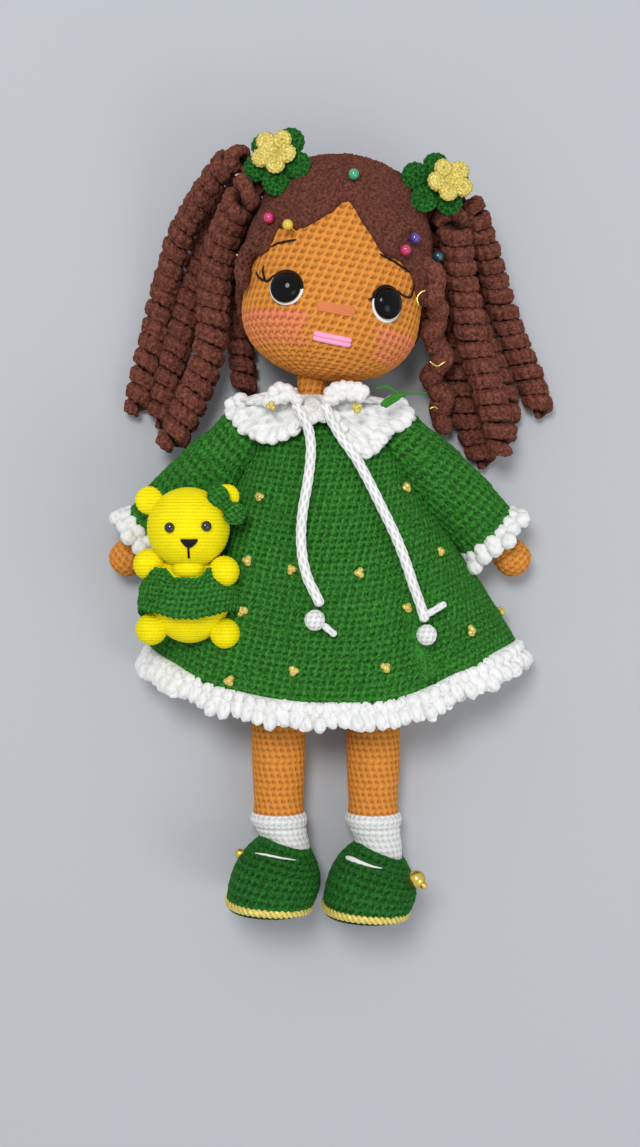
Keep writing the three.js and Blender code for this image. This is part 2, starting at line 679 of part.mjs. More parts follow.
// Everything the arm and sleeve pass through as they turn about the shoulder
function armSweep(side) {
  const start = vector(side * (SHOULDER_X - GAP), SHOULDER_Y, SHOULDER_Z);
  const endRadius = ARM_SWEEP_ROOT_RADIUS + ARM_SWEEP_SLOPE_SHARE * ARM_SWEEP_LENGTH;
  const rows = [[0, ARM_SWEEP_ROOT_RADIUS], [ARM_SWEEP_LENGTH, endRadius]];
  return solidOf(turned(start, vector(side, 0, 0), rows, BIG_SIDES));
}

// Torso with its neck
function torsoForm(extra) {
  const rings = TORSO_SHARES.map(([along, width, depth]) => Array.from({ length: ROUND_SIDES }, (_, side) => {
    const angle = (side / ROUND_SIDES) * FULL_TURN;
    return vector(
      (width * TORSO_WIDTH + extra) * roundPower(Math.cos(angle), TORSO_ROUND_POWER),
      TORSO_TOP_Y - along * TORSO_LENGTH,
      TORSO_Z + (depth * TORSO_DEPTH + extra) * roundPower(Math.sin(angle), TORSO_ROUND_POWER),
    );
  }));
  const first = vector(0, TORSO_TOP_Y + extra, TORSO_Z);
  const last = vector(0, TORSO_TOP_Y - TORSO_LENGTH - extra, TORSO_Z);
  return closedSkin(first, rings, last);
}

const neckFoot = vector(NECK_X, NECK_END_Y - NECK_ROOT_LENGTH - TORSO_LENGTH * NECK_ROOT_SHARE, NECK_Z);
const neckTop = vector(NECK_X, NECK_END_Y, NECK_Z);
const neckForm = (extra) => rod(
  neckFoot,
  neckTop.clone().addScaledVector(upward, extra),
  NECK_RADIUS + extra,
  ROUND_SIDES,
);
const rodFoot = neckTop.clone().addScaledVector(upward, -NECK_ROD_IN_TORSO);
const rodTop = neckTop.clone().addScaledVector(upward, NECK_ROD_IN_HEAD);
const rodForm = (extra) => rod(
  rodFoot.clone().addScaledVector(upward, -extra),
  rodTop.clone().addScaledVector(upward, extra),
  NECK_ROD_RADIUS + extra,
  SMALL_SIDES,
);

const knobSocket = (side) => roundBall(shoulder(side), ARM_BALL_RADIUS + SOCKET_GAP);
const hip = (side) => vector(LEG_MIDDLE_X + side * LEG_SPREAD, HIP_Y, HIP_Z);
const hipSocket = (side) => roundBall(hip(side), HIP_RADIUS + SOCKET_GAP);

// Room for the top of each leg as it lifts
const legRoom = (side) => [0, LEG_LIFT / 2, LEG_LIFT].map((angle) => {
  const way = vector(0, -Math.cos(angle), Math.sin(angle));
  const radius = LEG_RADIUS + SOCKET_GAP;
  return solidOf(turned(hip(side), way, [[0, radius], [HIP_RADIUS * 2, radius]], ROUND_SIDES));
});

const torsoSolid = cut(
  join(solidOf(torsoForm(0)), solidOf(neckForm(0))),
  solidOf(rodForm(GAP)), knobSocket(-1), knobSocket(1), hipSocket(-1), hipSocket(1),
  ...legRoom(-1), ...legRoom(1),
);
addPiece('torso', geometryFrom(torsoSolid), MATERIALS.skin);
addPiece('neck_rod', rodForm(0), MATERIALS.rod);

// Dress: the outer form less the torso, the space inside the skirt and the arms' way
const skirtShares = [
  SKIRT_START_SHARE,
  ...dressShares.filter((share) => share > SKIRT_START_SHARE),
  1 + OVERRUN / DRESS_LENGTH,
];
const dressSolid = cut(
  solidOf(dressForm(dressShares, 0)),
  solidOf(torsoForm(GAP)), solidOf(neckForm(GAP)), solidOf(dressForm(skirtShares, DRESS_WALL)),
  knobSocket(-1), knobSocket(1), armSweep(-1), armSweep(1),
);
addPiece('dress', geometryFrom(dressSolid), MATERIALS.green);

// Frill under the hem: a band that leaves the hem edge along its slope and waves in and out
function hemForm() {
  const loops = Array.from({ length: HEM_STEPS }, (_, step) => {
    const angle = (step / HEM_STEPS) * FULL_TURN;
    const edge = dressPoint(1, angle, 0);
    const slope = edge.clone().sub(dressPoint(1 - HEM_SLOPE_SHARE, angle, 0)).normalize();
    const lift = Math.max(Math.sin(angle), 0);
    const wave = lift * (HEM_FLARE + HEM_WAVE * Math.sin(angle * HEM_WAVES));
    const side = vector(Math.cos(angle), 0, lift).normalize();
    const height = HEM_HEIGHT * (1 + HEM_RIPPLE_SHARE * Math.sin(angle * HEM_WAVES + 1));
    const wall = vector(Math.cos(angle), 0, Math.sin(angle)).multiplyScalar(HEM_THICKNESS);
    const near = edge.clone().addScaledVector(slope, GAP);
    const far = edge.clone().addScaledVector(slope, height).addScaledVector(side, wave);
    const onTable = (point) => point.setZ(Math.max(point.z, 0));
    const inner = (point) => {
      const moved = point.clone().sub(wall);
      return moved.setZ(Math.max(moved.z, point.z < HEM_THICKNESS ? HEM_THICKNESS : 0));
    };
    const nearInner = near.clone().addScaledVector(slope, HEM_THICKNESS * HEM_BEVEL_SHARE);
    return [onTable(near), onTable(far), inner(far), inner(nearInner)];
  });
  return closedRing(loops);
}
addPiece('hem_ruffle', hemForm(), MATERIALS.white);

// Collar: neck loop to a waved outer edge, laid on the dress
function collarForm() {
  const loops = Array.from({ length: COLLAR_STEPS }, (_, step) => {
    const angle = (step / COLLAR_STEPS) * FULL_TURN;
    const isFront = Math.sin(angle) > 0;
    const spread = Math.max(Math.abs(Math.sin(2 * angle)) - COLLAR_NOTCH_SHARE, 0) / (1 - COLLAR_NOTCH_SHARE);
    const lobe = isFront ? spread ** COLLAR_LOBE_POWER : 0;
    const wave = 1 + (COLLAR_WAVE / COLLAR_HALF_WIDTH) * Math.cos(angle * COLLAR_WAVES);
    const inner = NECK_RADIUS + GAP;
    const outer = isFront ? COLLAR_FRONT : COLLAR_BACK;
    const ring = (share, y, lift) => vector(
      NECK_X * (1 - share) + Math.cos(angle) * mix(inner, COLLAR_HALF_WIDTH * wave, share),
      y,
      NECK_Z + Math.sin(angle) * mix(inner, outer, share) + (isFront ? lift : 0),
    );
    const outerY = COLLAR_OUTER_Y - COLLAR_LOBE_DROP * lobe;
    const middleY = mix(COLLAR_NECK_Y, outerY, COLLAR_BEND_DROP_SHARE);
    const depth = COLLAR_THICKNESS;
    return [
      ring(0, COLLAR_NECK_Y, 0), ring(COLLAR_BEND_SHARE, middleY, 0), ring(1, outerY, 0),
      ring(1, outerY - depth, -depth * lobe), ring(COLLAR_BEND_SHARE, middleY - depth * 2, -depth),
      ring(0, COLLAR_NECK_Y - depth * 2, 0),
    ];
  });
  return closedRing(loops);
}
const collarSolid = cut(
  solidOf(collarForm()), solidOf(dressForm(dressShares, -GAP)), solidOf(neckForm(GAP)),
  armSweep(-1), armSweep(1), knobSocket(-1), knobSocket(1),
);
addPiece('collar', geometryFrom(collarSolid), MATERIALS.white);

// Drawstrings and their bobbles
for (const [side] of Object.entries(SIDES)) {
  const points = TIE_ROUTES[side].map((point) => vector(...point));
  const route = new THREE.CatmullRomCurve3(points);
  const steps = Math.ceil(route.getLength() / TIE_STEP);
  const places = route.getSpacedPoints(steps);
  const radii = places.map(() => TIE_DIAMETER / 2);
  addPiece(`tie_cord_${side}`, tubeAlong(places, radii, TIE_SIDES), MATERIALS.white);
  const tip = places[places.length - 1];
  const direction = tip.clone().sub(places[places.length - 2]).normalize();
  const centre = tip.clone().addScaledVector(direction, BOBBLE_RADIUS + GAP)
    .addScaledVector(forward, BOBBLE_RADIUS - TIE_DIAMETER / 2);
  const tailAngle = THREE.MathUtils.degToRad(TIE_TAIL_ANGLES[side]);
  const tailWay = vector(Math.cos(tailAngle), Math.sin(tailAngle), 0);
  const tailEnd = centre.clone().addScaledVector(tailWay, BOBBLE_RADIUS + BOBBLE_TAIL_LENGTH);
  const tail = rod(centre, tailEnd, BOBBLE_TAIL_RADIUS, PIN_SIDES);
  const bobble = join(roundBall(centre, BOBBLE_RADIUS), solidOf(tail));
  addPiece(`tie_bobble_${side}`, geometryFrom(bobble), MATERIALS.white);
}

// Arms, sleeves and cuffs
for (const [name, side] of Object.entries(SIDES)) {
  addPiece(`arm_${name}`, geometryFrom(armForm(side)), MATERIALS.skin);
  const edge = side * SHOULDER_X;
  const inward = side * (SHOULDER_X - SLEEVE_RADIUS * 2);
  const trim = box(
    vector(Math.min(edge, inward), SHOULDER_Y - SLEEVE_RADIUS * 2, SHOULDER_Z - SLEEVE_RADIUS * 2),
    vector(Math.max(edge, inward), SHOULDER_Y + SLEEVE_RADIUS * 2, SHOULDER_Z + SLEEVE_RADIUS * 2),
  );
  const sleeve = cut(sleeveOuter(side, 0), sleeveInner(side), solidOf(trim));
  addPiece(`sleeve_${name}`, geometryFrom(sleeve), MATERIALS.green);

  const [across, up] = squareTo(armAxis(side));
  const cuffLoops = Array.from({ length: CUFF_STEPS }, (_, step) => {
    const angle = (step / CUFF_STEPS) * FULL_TURN;
    const wave = CUFF_WAVE * Math.sin(angle * CUFF_WAVES);
    const place = (along, radius) => shoulder(side).addScaledVector(armAxis(side), along)
      .addScaledVector(across, radius * Math.cos(angle)).addScaledVector(up, radius * Math.sin(angle));
    const near = sleeveLength + GAP;
    const far = near + CUFF_LENGTH + wave;
    const narrow = CUFF_RADIUS - CUFF_WAVE;
    return [
      place(near, narrow), place(far, CUFF_RADIUS + wave),
      place(far, CUFF_RADIUS + wave - CUFF_WALL), place(near, narrow - CUFF_WALL),
    ];
  });
  addPiece(`cuff_ruffle_${name}`, closedRing(cuffLoops), MATERIALS.white);
}

// Legs, socks and shoes
function shoeForm(side, wall) {
  const angles = Array.from({ length: SHOE_SIDES }, (_, step) => (step / SHOE_SIDES) * FULL_TURN);
  const rings = SHOE_SHARES.map(([down, width, front, back]) => {
    const high = front * SHOE_LENGTH - wall;
    const low = back * SHOE_LENGTH + wall;
    const centreX = hip(side).x + SHOE_SHIFT * (1 - (1 - down) ** 2);
    return angles.map((angle) => vector(
      centreX + (width * SHOE_WIDTH / 2 - wall) * roundPower(Math.cos(angle), SHOE_WIDTH_POWER),
      SHOE_TOP_Y - Math.min(down * SHOE_HEIGHT, SHOE_HEIGHT - wall),
      (low + high) / 2 + ((high - low) / 2) * roundPower(Math.sin(angle), SHOE_LENGTH_POWER),
    ));
  });
  return closedSkin(middleOf(rings[0]), rings, middleOf(rings[rings.length - 1]));
}

for (const [name, side] of Object.entries(SIDES)) {
  const start = hip(side);
  const end = vector(start.x, LEG_END_Y, LEG_END_Z);
  const axis = end.clone().sub(start).normalize();
  const length = end.distanceTo(start);
  const leg = turned(start, axis, [
    ...KNOB_SHARES.map(([along, radius]) => [HIP_RADIUS * along, HIP_RADIUS * radius]),
    ...LEG_SHARES.map(([along, radius]) => [length * along, LEG_RADIUS * radius]),
    [length, LEG_ANKLE_RADIUS],
  ], ROUND_SIDES);
  addPiece(`leg_${name}`, leg, MATERIALS.skin);

  const ankle = (y) => vector(start.x, y, mix(HIP_Z, LEG_END_Z, (HIP_Y - y) / (HIP_Y - LEG_END_Y)));
  const sockTop = ankle(SOCK_TOP_Y);
  const sockWay = ankle(SHOE_TOP_Y).sub(sockTop).normalize();
  const reach = SOCK_TOP_Y - SHOE_TOP_Y + SHOE_HEIGHT * SHOE_FILL_SHARE;
  const sockNarrow = SOCK_RADIUS - SOCK_ROLL / 2;
  const sockTube = turned(sockTop, sockWay, [
    [0, SOCK_RADIUS], [SOCK_ROLL_LENGTH / 2, SOCK_RADIUS + SOCK_ROLL], [SOCK_ROLL_LENGTH, sockNarrow],
    [reach, sockNarrow],
  ], ROUND_SIDES);
  const cupRadius = LEG_ANKLE_RADIUS + LEG_CUP_CLEARANCE;
  const cup = rod(ankle(SOCK_TOP_Y + OVERRUN), ankle(LEG_END_Y - GAP), cupRadius, ROUND_SIDES);
  const foot = solidOf(shoeForm(side, SHOE_WALL + GAP));
  const sock = cut(join(solidOf(sockTube), foot), solidOf(cup));
  addPiece(`sock_${name}`, geometryFrom(sock), MATERIALS.white);

  const fillY = SHOE_TOP_Y - SHOE_HEIGHT * SHOE_FILL_SHARE;
  const opening = rod(ankle(SOCK_TOP_Y), ankle(fillY), sockNarrow + GAP, ROUND_SIDES);
  const slitY = SHOE_TOP_Y - SHOE_SLIT_DROP;
  const slit = box(
    vector(start.x - SHOE_SLIT_WIDTH / 2, slitY - SHOE_SLIT_HEIGHT, SHOE_LENGTH / 2),
    vector(start.x + SHOE_SLIT_WIDTH / 2, slitY, SHOE_LENGTH + OVERRUN),
  );
  const hollow = solidOf(shoeForm(side, SHOE_WALL));
  const shoe = cut(solidOf(shoeForm(side, 0)), hollow, solidOf(opening), solidOf(slit));
  addPiece(`shoe_${name}`, geometryFrom(shoe), MATERIALS.green);

  const beadRadius = BEAD_RADII[name];
  const beadReach = BEAD_SHARES[1] * SHOE_WIDTH + BEAD_STAND_SHARE * beadRadius;
  const beadCentre = vector(
    start.x + BEAD_SHARES[0] * SHOE_SHIFT + side * beadReach,
    SHOE_TOP_Y - BEAD_SHARES[2] * SHOE_HEIGHT,
    BEAD_SHARES[3] * SHOE_LENGTH,
  );
  const bead = cut(
    solidOf(ball(beadCentre, beadRadius, beadRadius, beadRadius, SMALL_SIDES, SMALL_ROWS)),
    solidOf(shoeForm(side, -GAP)),
  );
  addPiece(`shoe_bead_${name}`, geometryFrom(bead), MATERIALS.bead);
}

// Head with its eye seats, stem bores, washer pockets and neck socket
const eyeFrames = Object.fromEntries(Object.entries(SIDES).map(([name, side]) => {
  const azimuth = side * EYE_AZIMUTH;
  const rise = (EYE_HEIGHT_SHARE - HEAD_WIDEST_SHARE) * HEAD_HEIGHT;
  const elevation = Math.atan2(rise, HEAD_WIDTH / 2);
  const point = headPoint(azimuth, elevation, 0);
  const outward = headNormal(azimuth, elevation, 0);
  outward.y = 0;
  outward.normalize();
  point.addScaledVector(outward, -EYE_SEAT_DEPTH);
  return [name, frameAt(point, outward, headFrame)];
}));
const washerHigh = WASHER_THICKNESS * 2 - EYE_STEM_LENGTH;
const washerLow = washerHigh - WASHER_THICKNESS;
const alongEye = (frame, low, high, radius, sides) => {
  const tool = rod(vector(0, 0, low), vector(0, 0, high), radius, sides);
  return solidOf(tool.applyMatrix4(frame.matrix));
};
// One round seat takes in both the eye and the white disc that sits lower
const seatRadius = (EYE_RADIUS + EYE_WHITE_RADIUS + EYE_WHITE_DROP) / 2 + GAP;
const seatY = EYE_RADIUS + GAP - seatRadius;
const eyeTools = Object.values(eyeFrames).flatMap((frame) => {
  const seat = rod(vector(0, seatY, 0), vector(0, seatY, OVERRUN), seatRadius, ROUND_SIDES);
  return [
    solidOf(seat.applyMatrix4(frame.matrix)),
    alongEye(frame, -EYE_STEM_LENGTH - GAP, OVERRUN, EYE_STEM_RADIUS + GAP, SMALL_SIDES),
    alongEye(frame, washerLow - GAP, washerHigh + GAP, WASHER_RADIUS + GAP, SMALL_SIDES),
  ];
});
const pinFrames = PINS.map(({ direction }) => {
  const [azimuth, elevation] = toRadians(direction);
  const outward = headNormal(azimuth, elevation, wigReach);
  return frameAt(headPoint(azimuth, elevation, wigReach), outward, headFrame);
});
const pinHoles = pinFrames.map((frame) => {
  const radius = PIN_SHAFT_RADIUS + GAP * 2;
  const hole = rod(vector(0, 0, -PIN_SHAFT_LENGTH - GAP), vector(0, 0, OVERRUN), radius, HOLE_SIDES);
  return solidOf(hole.applyMatrix4(frame.matrix));
});
const headSolid = cut(
  solidOf(headForm(0)),
  inHead(neckForm(GAP)), inHead(rodForm(GAP)), ...eyeTools, ...pinHoles,
);
addPiece('head', geometryFrom(headSolid), MATERIALS.skin, headFrame);

// Eyes, their white discs and their washers
for (const [name, frame] of Object.entries(eyeFrames)) {
  const base = EYE_WHITE_THICKNESS + 2 * GAP;
  const dome = turned(vector(0, 0, 0), forward, [
    [base, EYE_RADIUS],
    ...DOME_SHARES.map(([up, radius]) => [base + EYE_RIM + EYE_DOME * up, EYE_RADIUS * radius]),
  ], ROUND_SIDES);
  const stemFoot = vector(0, 0, -EYE_STEM_LENGTH);
  const stem = rod(stemFoot, vector(0, 0, base + EYE_RIM), EYE_STEM_RADIUS, SMALL_SIDES);
  addPiece(`eye_${name}`, geometryFrom(join(solidOf(dome), solidOf(stem))), MATERIALS.eye, frame);

  const discLow = vector(0, -EYE_WHITE_DROP, GAP);
  const discHigh = vector(0, -EYE_WHITE_DROP, GAP + EYE_WHITE_THICKNESS);
  const holeFoot = vector(0, 0, -EYE_STEM_LENGTH - OVERRUN);
  const stemHole = rod(holeFoot, vector(0, 0, OVERRUN), EYE_STEM_RADIUS + GAP, SMALL_SIDES);
  const disc = cut(solidOf(rod(discLow, discHigh, EYE_WHITE_RADIUS, ROUND_SIDES)), solidOf(stemHole));
  addPiece(`eye_white_${name}`, geometryFrom(disc), MATERIALS.white, frame);

  const plate = rod(vector(0, 0, washerLow), vector(0, 0, washerHigh), WASHER_RADIUS, SMALL_SIDES);
  const washer = cut(solidOf(plate), solidOf(stemHole));
  addPiece(`eye_washer_${name}`, geometryFrom(washer), MATERIALS.nylon, frame);
}

// Pins through the wig into the head
PINS.forEach(({ name, colour }, index) => {
  const pin = turned(vector(0, 0, 0), forward, [
    [-PIN_SHAFT_LENGTH, PIN_SHAFT_RADIUS], [GAP, PIN_SHAFT_RADIUS],
    ...PIN_HEAD_SHARES.map(([up, radius]) => [GAP + 2 * PIN_HEAD_RADIUS * up, PIN_HEAD_RADIUS * radius]),
  ], PIN_SIDES);
  addPiece(name, pin, finish(colour, PIN_ROUGHNESS, 0), pinFrames[index]);
});

// Wig cap: a shell over the head, open at the face and below the nape, flat where it lies on the table
function wigSolid() {
  const high = HEAD_HEIGHT + wigReach + OVERRUN;
  const wide = HEAD_WIDTH / 2 + wigReach + OVERRUN;
  const deep = HEAD_DEPTH / 2 + wigReach + OVERRUN;
  const face = new THREE.Shape();
  face.moveTo(-wide, -OVERRUN);
  HAIRLINE_SHARES.forEach(([across, up]) => face.lineTo(across * HEAD_WIDTH / 2, up * HEAD_HEIGHT));
  face.lineTo(wide, -OVERRUN);
  const faceTool = new THREE.ExtrudeGeometry(face, { depth: deep, bevelEnabled: false });
  faceTool.translate(0, 0, WIG_FRONT_DEPTH);
  const below = new THREE.Shape();
  below.moveTo(-deep, -OVERRUN);
  below.lineTo(-deep, WIG_NAPE_SHARE * HEAD_HEIGHT);
  below.lineTo(-WIG_BACK_EDGE_SHARE * HEAD_DEPTH / 2, WIG_NAPE_SHARE * HEAD_HEIGHT);
  below.lineTo(WIG_FRONT_DEPTH, WIG_EAR_SHARE * HEAD_HEIGHT);
  below.lineTo(deep, WIG_EAR_SHARE * HEAD_HEIGHT);
  below.lineTo(deep, -OVERRUN);
  const belowTool = new THREE.ExtrudeGeometry(below, { depth: 2 * wide, bevelEnabled: false });
  belowTool.translate(0, 0, -wide);
  belowTool.rotateY(-FULL_TURN / 4);
  const underTable = box(vector(-wide * 2, 0, -high), vector(wide * 2, high * 2, 0));
  const outer = solidOf(headForm(wigReach));
  const inner = solidOf(headForm(GAP));
  const [azimuth, elevation] = toRadians(TENDRIL_DIRECTION);
  const root = headPoint(azimuth, elevation, wigReach - TENDRIL_RADIUS * TENDRIL_SINK_SHARE);
  const tendrilPoints = TENDRIL_POINT_SHARES.map(([out, down]) => vector(
    root.x + out * TENDRIL_LENGTH,
    root.y + down * TENDRIL_LENGTH,
    root.z + down * TENDRIL_RADIUS,
  ));
  const tendrilRadii = TENDRIL_TAPER_SHARES.map((share) => share * TENDRIL_RADIUS);
  const tendril = tubeAlong(tendrilPoints, tendrilRadii, SMALL_SIDES);
  const shell = cut(outer, solidOf(faceTool), solidOf(belowTool));
  const seats = Object.values(SIDES).map((side) => roundBall(hubLocal(side), HUB_RADIUS + GAP));
  return cut(join(shell, solidOf(tendril)), inner, inHead(underTable), ...seats, ...pinHoles);
}
addPiece('wig_cap', geometryFrom(wigSolid()), MATERIALS.hair, headFrame);

// Bases of the bunches
for (const [name, side] of Object.entries(SIDES)) {
  const hub = ball(hubWorld(side), HUB_RADIUS, HUB_RADIUS, HUB_RADIUS, BALL_SIDES, BALL_ROWS);
  addPiece(`bunch_${name}`, hub, MATERIALS.hair);
}

// A curl: one yarn tube that winds round a route, with straight ends, and its least gap to itself
function curl(route, turns, yarnRadius, coilRadius) {
  const length = route.getLength();
  const straight = 2 * yarnRadius;
  const steps = turns * CURL_STEPS;
  const samples = [0];
  for (let step = 0; step <= steps; step += 1) {
    samples.push(mix(straight, length - straight, step / steps));
  }
  samples.push(length);
  const frames = route.computeFrenetFrames(CURL_ROUTE_STEPS, false);
  const points = samples.map((along, index) => {
    const share = along / length;
    const frame = Math.round(share * CURL_ROUTE_STEPS);
    const wound = Math.min(Math.max(index - 1, 0), steps);
    const angle = (wound / CURL_STEPS) * FULL_TURN;
    const nearEnd = Math.min(wound, steps - wound) / (CURL_STEPS / 2);
    const radius = coilRadius * THREE.MathUtils.smoothstep(nearEnd, 0, 1);
    return route.getPointAt(share)
      .addScaledVector(frames.normals[frame], radius * Math.cos(angle))
      .addScaledVector(frames.binormals[frame], radius * Math.sin(angle));
  });
  const travelled = points.reduce((sums, point, index) => {
    sums.push(index ? sums[index - 1] + point.distanceTo(points[index - 1]) : 0);
    return sums;
  }, []);
  let gap = Infinity;
  points.forEach((point, index) => {
    for (let other = index + 1; other < points.length; other += 1) {
      if (travelled[other] - travelled[index] > CURL_OWN_STRETCH_SHARE * yarnRadius) {
        gap = Math.min(gap, point.distanceTo(points[other]) - 2 * yarnRadius);
      }
    }
  });
  return { geometry: tubeAlong(points, points.map(() => yarnRadius), CURL_SIDES), gap };
}

const lockRestZ = LOCK_YARN_RADIUS + LOCK_COIL_RADIUS + LOCK_TABLE_GAP;
const curlGaps = [];
for (const { name, side, turns, routeShares } of LOCKS) {
  const centre = hubWorld(side);
  const places = routeShares.map(([across, along, height]) => vector(
    centre.x + across * LOCK_REACH,
    centre.y + along * LOCK_REACH,
    mix(lockRestZ, centre.z, height),
  ));
  const way = places[0].clone().sub(centre).normalize();
  const root = centre.clone().addScaledVector(way, HUB_RADIUS + GAP);
  const lead = root.clone().addScaledVector(way, 2 * LOCK_YARN_RADIUS);
  const route = new THREE.CatmullRomCurve3([root, lead, ...places.slice(1)], false, 'centripetal');
  const { geometry, gap } = curl(route, turns, LOCK_YARN_RADIUS, LOCK_COIL_RADIUS);
  curlGaps.push(gap);
  addPiece(name, geometry, MATERIALS.hair);
}

// Loose side lock, from the wig's edge down past the cheek
{
  const [azimuth, elevation] = toRadians(SIDE_LOCK_DIRECTION);
  const outward = headNormal(azimuth, elevation, wigReach).transformDirection(headFrame.matrixWorld);
  const root = headPoint(azimuth, elevation, wigReach).applyMatrix4(headFrame.matrixWorld);
  const lead = root.clone().addScaledVector(outward, SIDE_LOCK_YARN_RADIUS);
  const places = SIDE_LOCK_ROUTE_SHARES.map(([across, along, height]) => vector(
    root.x + across * LOCK_REACH,
    root.y + along * LOCK_REACH,
    mix(lockRestZ, root.z, height),
  ));
  const route = new THREE.CatmullRomCurve3([root, lead, ...places], false, 'centripetal');
  const { geometry, gap } = curl(route, SIDE_LOCK_TURNS, SIDE_LOCK_YARN_RADIUS, SIDE_LOCK_COIL_RADIUS);
  curlGaps.push(gap);
  addPiece('side_lock_left', geometry, MATERIALS.hair);
}
console.log(`least gap of a curl to itself: ${Math.min(...curlGaps).toFixed(2)} mm`);

// Flowers: lobed discs, the green one cut to its seat on the base and the wig
function lobedDisc(radius, thickness, spin, low) {
  const steps = FLOWER_PETALS * PETAL_STEPS;
  const outline = (share, z) => Array.from({ length: steps }, (_, step) => {
    const angle = (step / steps) * FULL_TURN;
    const petal = Math.abs(Math.cos((FLOWER_PETALS * angle) / 2)) ** PETAL_POWER;
    const reach = radius * share * (1 - FLOWER_DIP_SHARE + FLOWER_DIP_SHARE * petal);
    return vector(reach * Math.cos(angle + spin), reach * Math.sin(angle + spin), z);
  });
  const rows = FLOWER_EDGE_SHARES.map(([share, up]) => outline(share, low + thickness * up));
  return closedSkin(vector(0, 0, low), rows, vector(0, 0, low + thickness * FLOWER_HEART_SHARE));
}

for (const [name, side] of Object.entries(SIDES)) {
  const centre = hubWorld(side);
  const frame = new THREE.Group();
  frame.position.set(centre.x + FLOWER_OFFSET_X, centre.y + FLOWER_OFFSET_Y, centre.z + FLOWER_LIFT);
  frame.updateMatrix();
  doll.add(frame);
  const local = (geometry) => solidOf(geometry.applyMatrix4(frame.matrix.clone().invert()));
  const leafLow = HUB_RADIUS * FLOWER_SEAT_SHARE;
  const stalkFoot = vector(-FLOWER_OFFSET_X, -FLOWER_OFFSET_Y, -FLOWER_LIFT);
  const stalk = rod(stalkFoot, vector(0, 0, leafLow + LEAF_THICKNESS / 2), FLOWER_STALK_RADIUS, PIN_SIDES);
  const disc = solidOf(lobedDisc(LEAF_RADIUS, LEAF_THICKNESS, FLOWER_SPINS[name], leafLow));
  const hubReach = HUB_RADIUS + SOCKET_GAP;
  const wigSkin = headForm(wigReach + GAP).applyMatrix4(headFrame.matrixWorld);
  const leaf = cut(
    join(disc, solidOf(stalk)),
    local(ball(centre, hubReach, hubReach, hubReach, BALL_SIDES, BALL_ROWS)), local(wigSkin),
  );
  addPiece(`flower_leaf_${name}`, geometryFrom(leaf), MATERIALS.leaf, frame);
  const goldLow = leafLow + LEAF_THICKNESS + GAP;
  const gold = lobedDisc(GOLD_RADIUS, GOLD_THICKNESS, FLOWER_SPINS[name] + GOLD_SPIN, goldLow);
  addPiece(`flower_gold_${name}`, gold, MATERIALS.gold, frame);
}

// Toy bear, cut where it rests on the sleeve and the skirt
const bearRests = [sleeveOuter(-1, GAP), solidOf(dressForm(dressShares, -GAP))];
const headCentre = vector(BEAR_X, BEAR_HEAD_Y, BEAR_HEAD_Z);
const bodyCentre = vector(BEAR_X, BEAR_BODY_Y, BEAR_BODY_Z);
const bearRound = (centre, sizes, extra) => {
  const [x, y, z] = sizes.map((size) => size / 2 + extra);
  return ball(centre, x, y, z, ROUND_SIDES, SMALL_SIDES);
};
const bearHeadForm = (extra) =>
  bearRound(headCentre, [BEAR_HEAD_WIDTH, BEAR_HEAD_HEIGHT, BEAR_HEAD_DEPTH], extra);
const bearBodyForm = (extra) =>
  bearRound(bodyCentre, [BEAR_BODY_WIDTH, BEAR_BODY_HEIGHT, BEAR_BODY_DEPTH], extra);
const bearEars = (extra) => Object.values(SIDES).map((side) => {
  const centre = vector(
    BEAR_X + side * BEAR_EAR_SHARES[0] * BEAR_HEAD_WIDTH / 2,
    BEAR_HEAD_Y + BEAR_EAR_SHARES[1] * BEAR_HEAD_HEIGHT / 2,
    BEAR_HEAD_Z,
  );
  const radius = BEAR_EAR_RADIUS + extra;
  return solidOf(ball(centre, radius, radius, BEAR_EAR_THICKNESS / 2 + extra, SMALL_SIDES, SMALL_ROWS));
});
const bearHead = cut(join(solidOf(bearHeadForm(0)), ...bearEars(0)), ...bearRests);
addPiece('bear_head', geometryFrom(bearHead), MATERIALS.bear);
const bearBody = cut(solidOf(bearBodyForm(0)), solidOf(bearHeadForm(GAP)), ...bearRests);
addPiece('bear_body', geometryFrom(bearBody), MATERIALS.bear);

const bearTopForm = (extra) => {
  const [low, high] = BEAR_TOP_SHARES.map((share) => BEAR_BODY_Y + share * BEAR_BODY_HEIGHT / 2);
  const band = box(
    vector(BEAR_X - BEAR_BODY_WIDTH, low - extra, 0),
    vector(BEAR_X + BEAR_BODY_WIDTH, high + extra, BEAR_HEAD_Z * 2),
  );
  return solidOf(bearBodyForm(GAP + BEAR_TOP_WALL + extra)).intersect(solidOf(band));
};
const bearTop = cut(bearTopForm(0), solidOf(bearBodyForm(GAP)), solidOf(bearHeadForm(GAP)), ...bearRests);
addPiece('bear_top', geometryFrom(bearTop), MATERIALS.green);

for (const [name, side] of Object.entries(SIDES)) {
  const limb = (shares, radius) => ball(
    vector(
      BEAR_X + side * shares[0] * BEAR_BODY_WIDTH / 2,
      BEAR_BODY_Y + shares[1] * BEAR_BODY_HEIGHT / 2,
      BEAR_BODY_Z + radius * BEAR_LIMB_LIFT_SHARE,
    ),
    radius, radius, radius, SMALL_SIDES, SMALL_ROWS,
  );
  const bodySkins = [solidOf(bearBodyForm(GAP)), solidOf(bearHeadForm(GAP)), bearTopForm(GAP), ...bearRests];
  const arm = cut(solidOf(limb(BEAR_ARM_SHARES, BEAR_ARM_RADIUS)), ...bodySkins);
  addPiece(`bear_arm_${name}`, geometryFrom(arm), MATERIALS.bear);
  const leg = cut(solidOf(limb(BEAR_LEG_SHARES, BEAR_LEG_RADIUS)), ...bodySkins);
  addPiece(`bear_leg_${name}`, geometryFrom(leg), MATERIALS.bear);
}

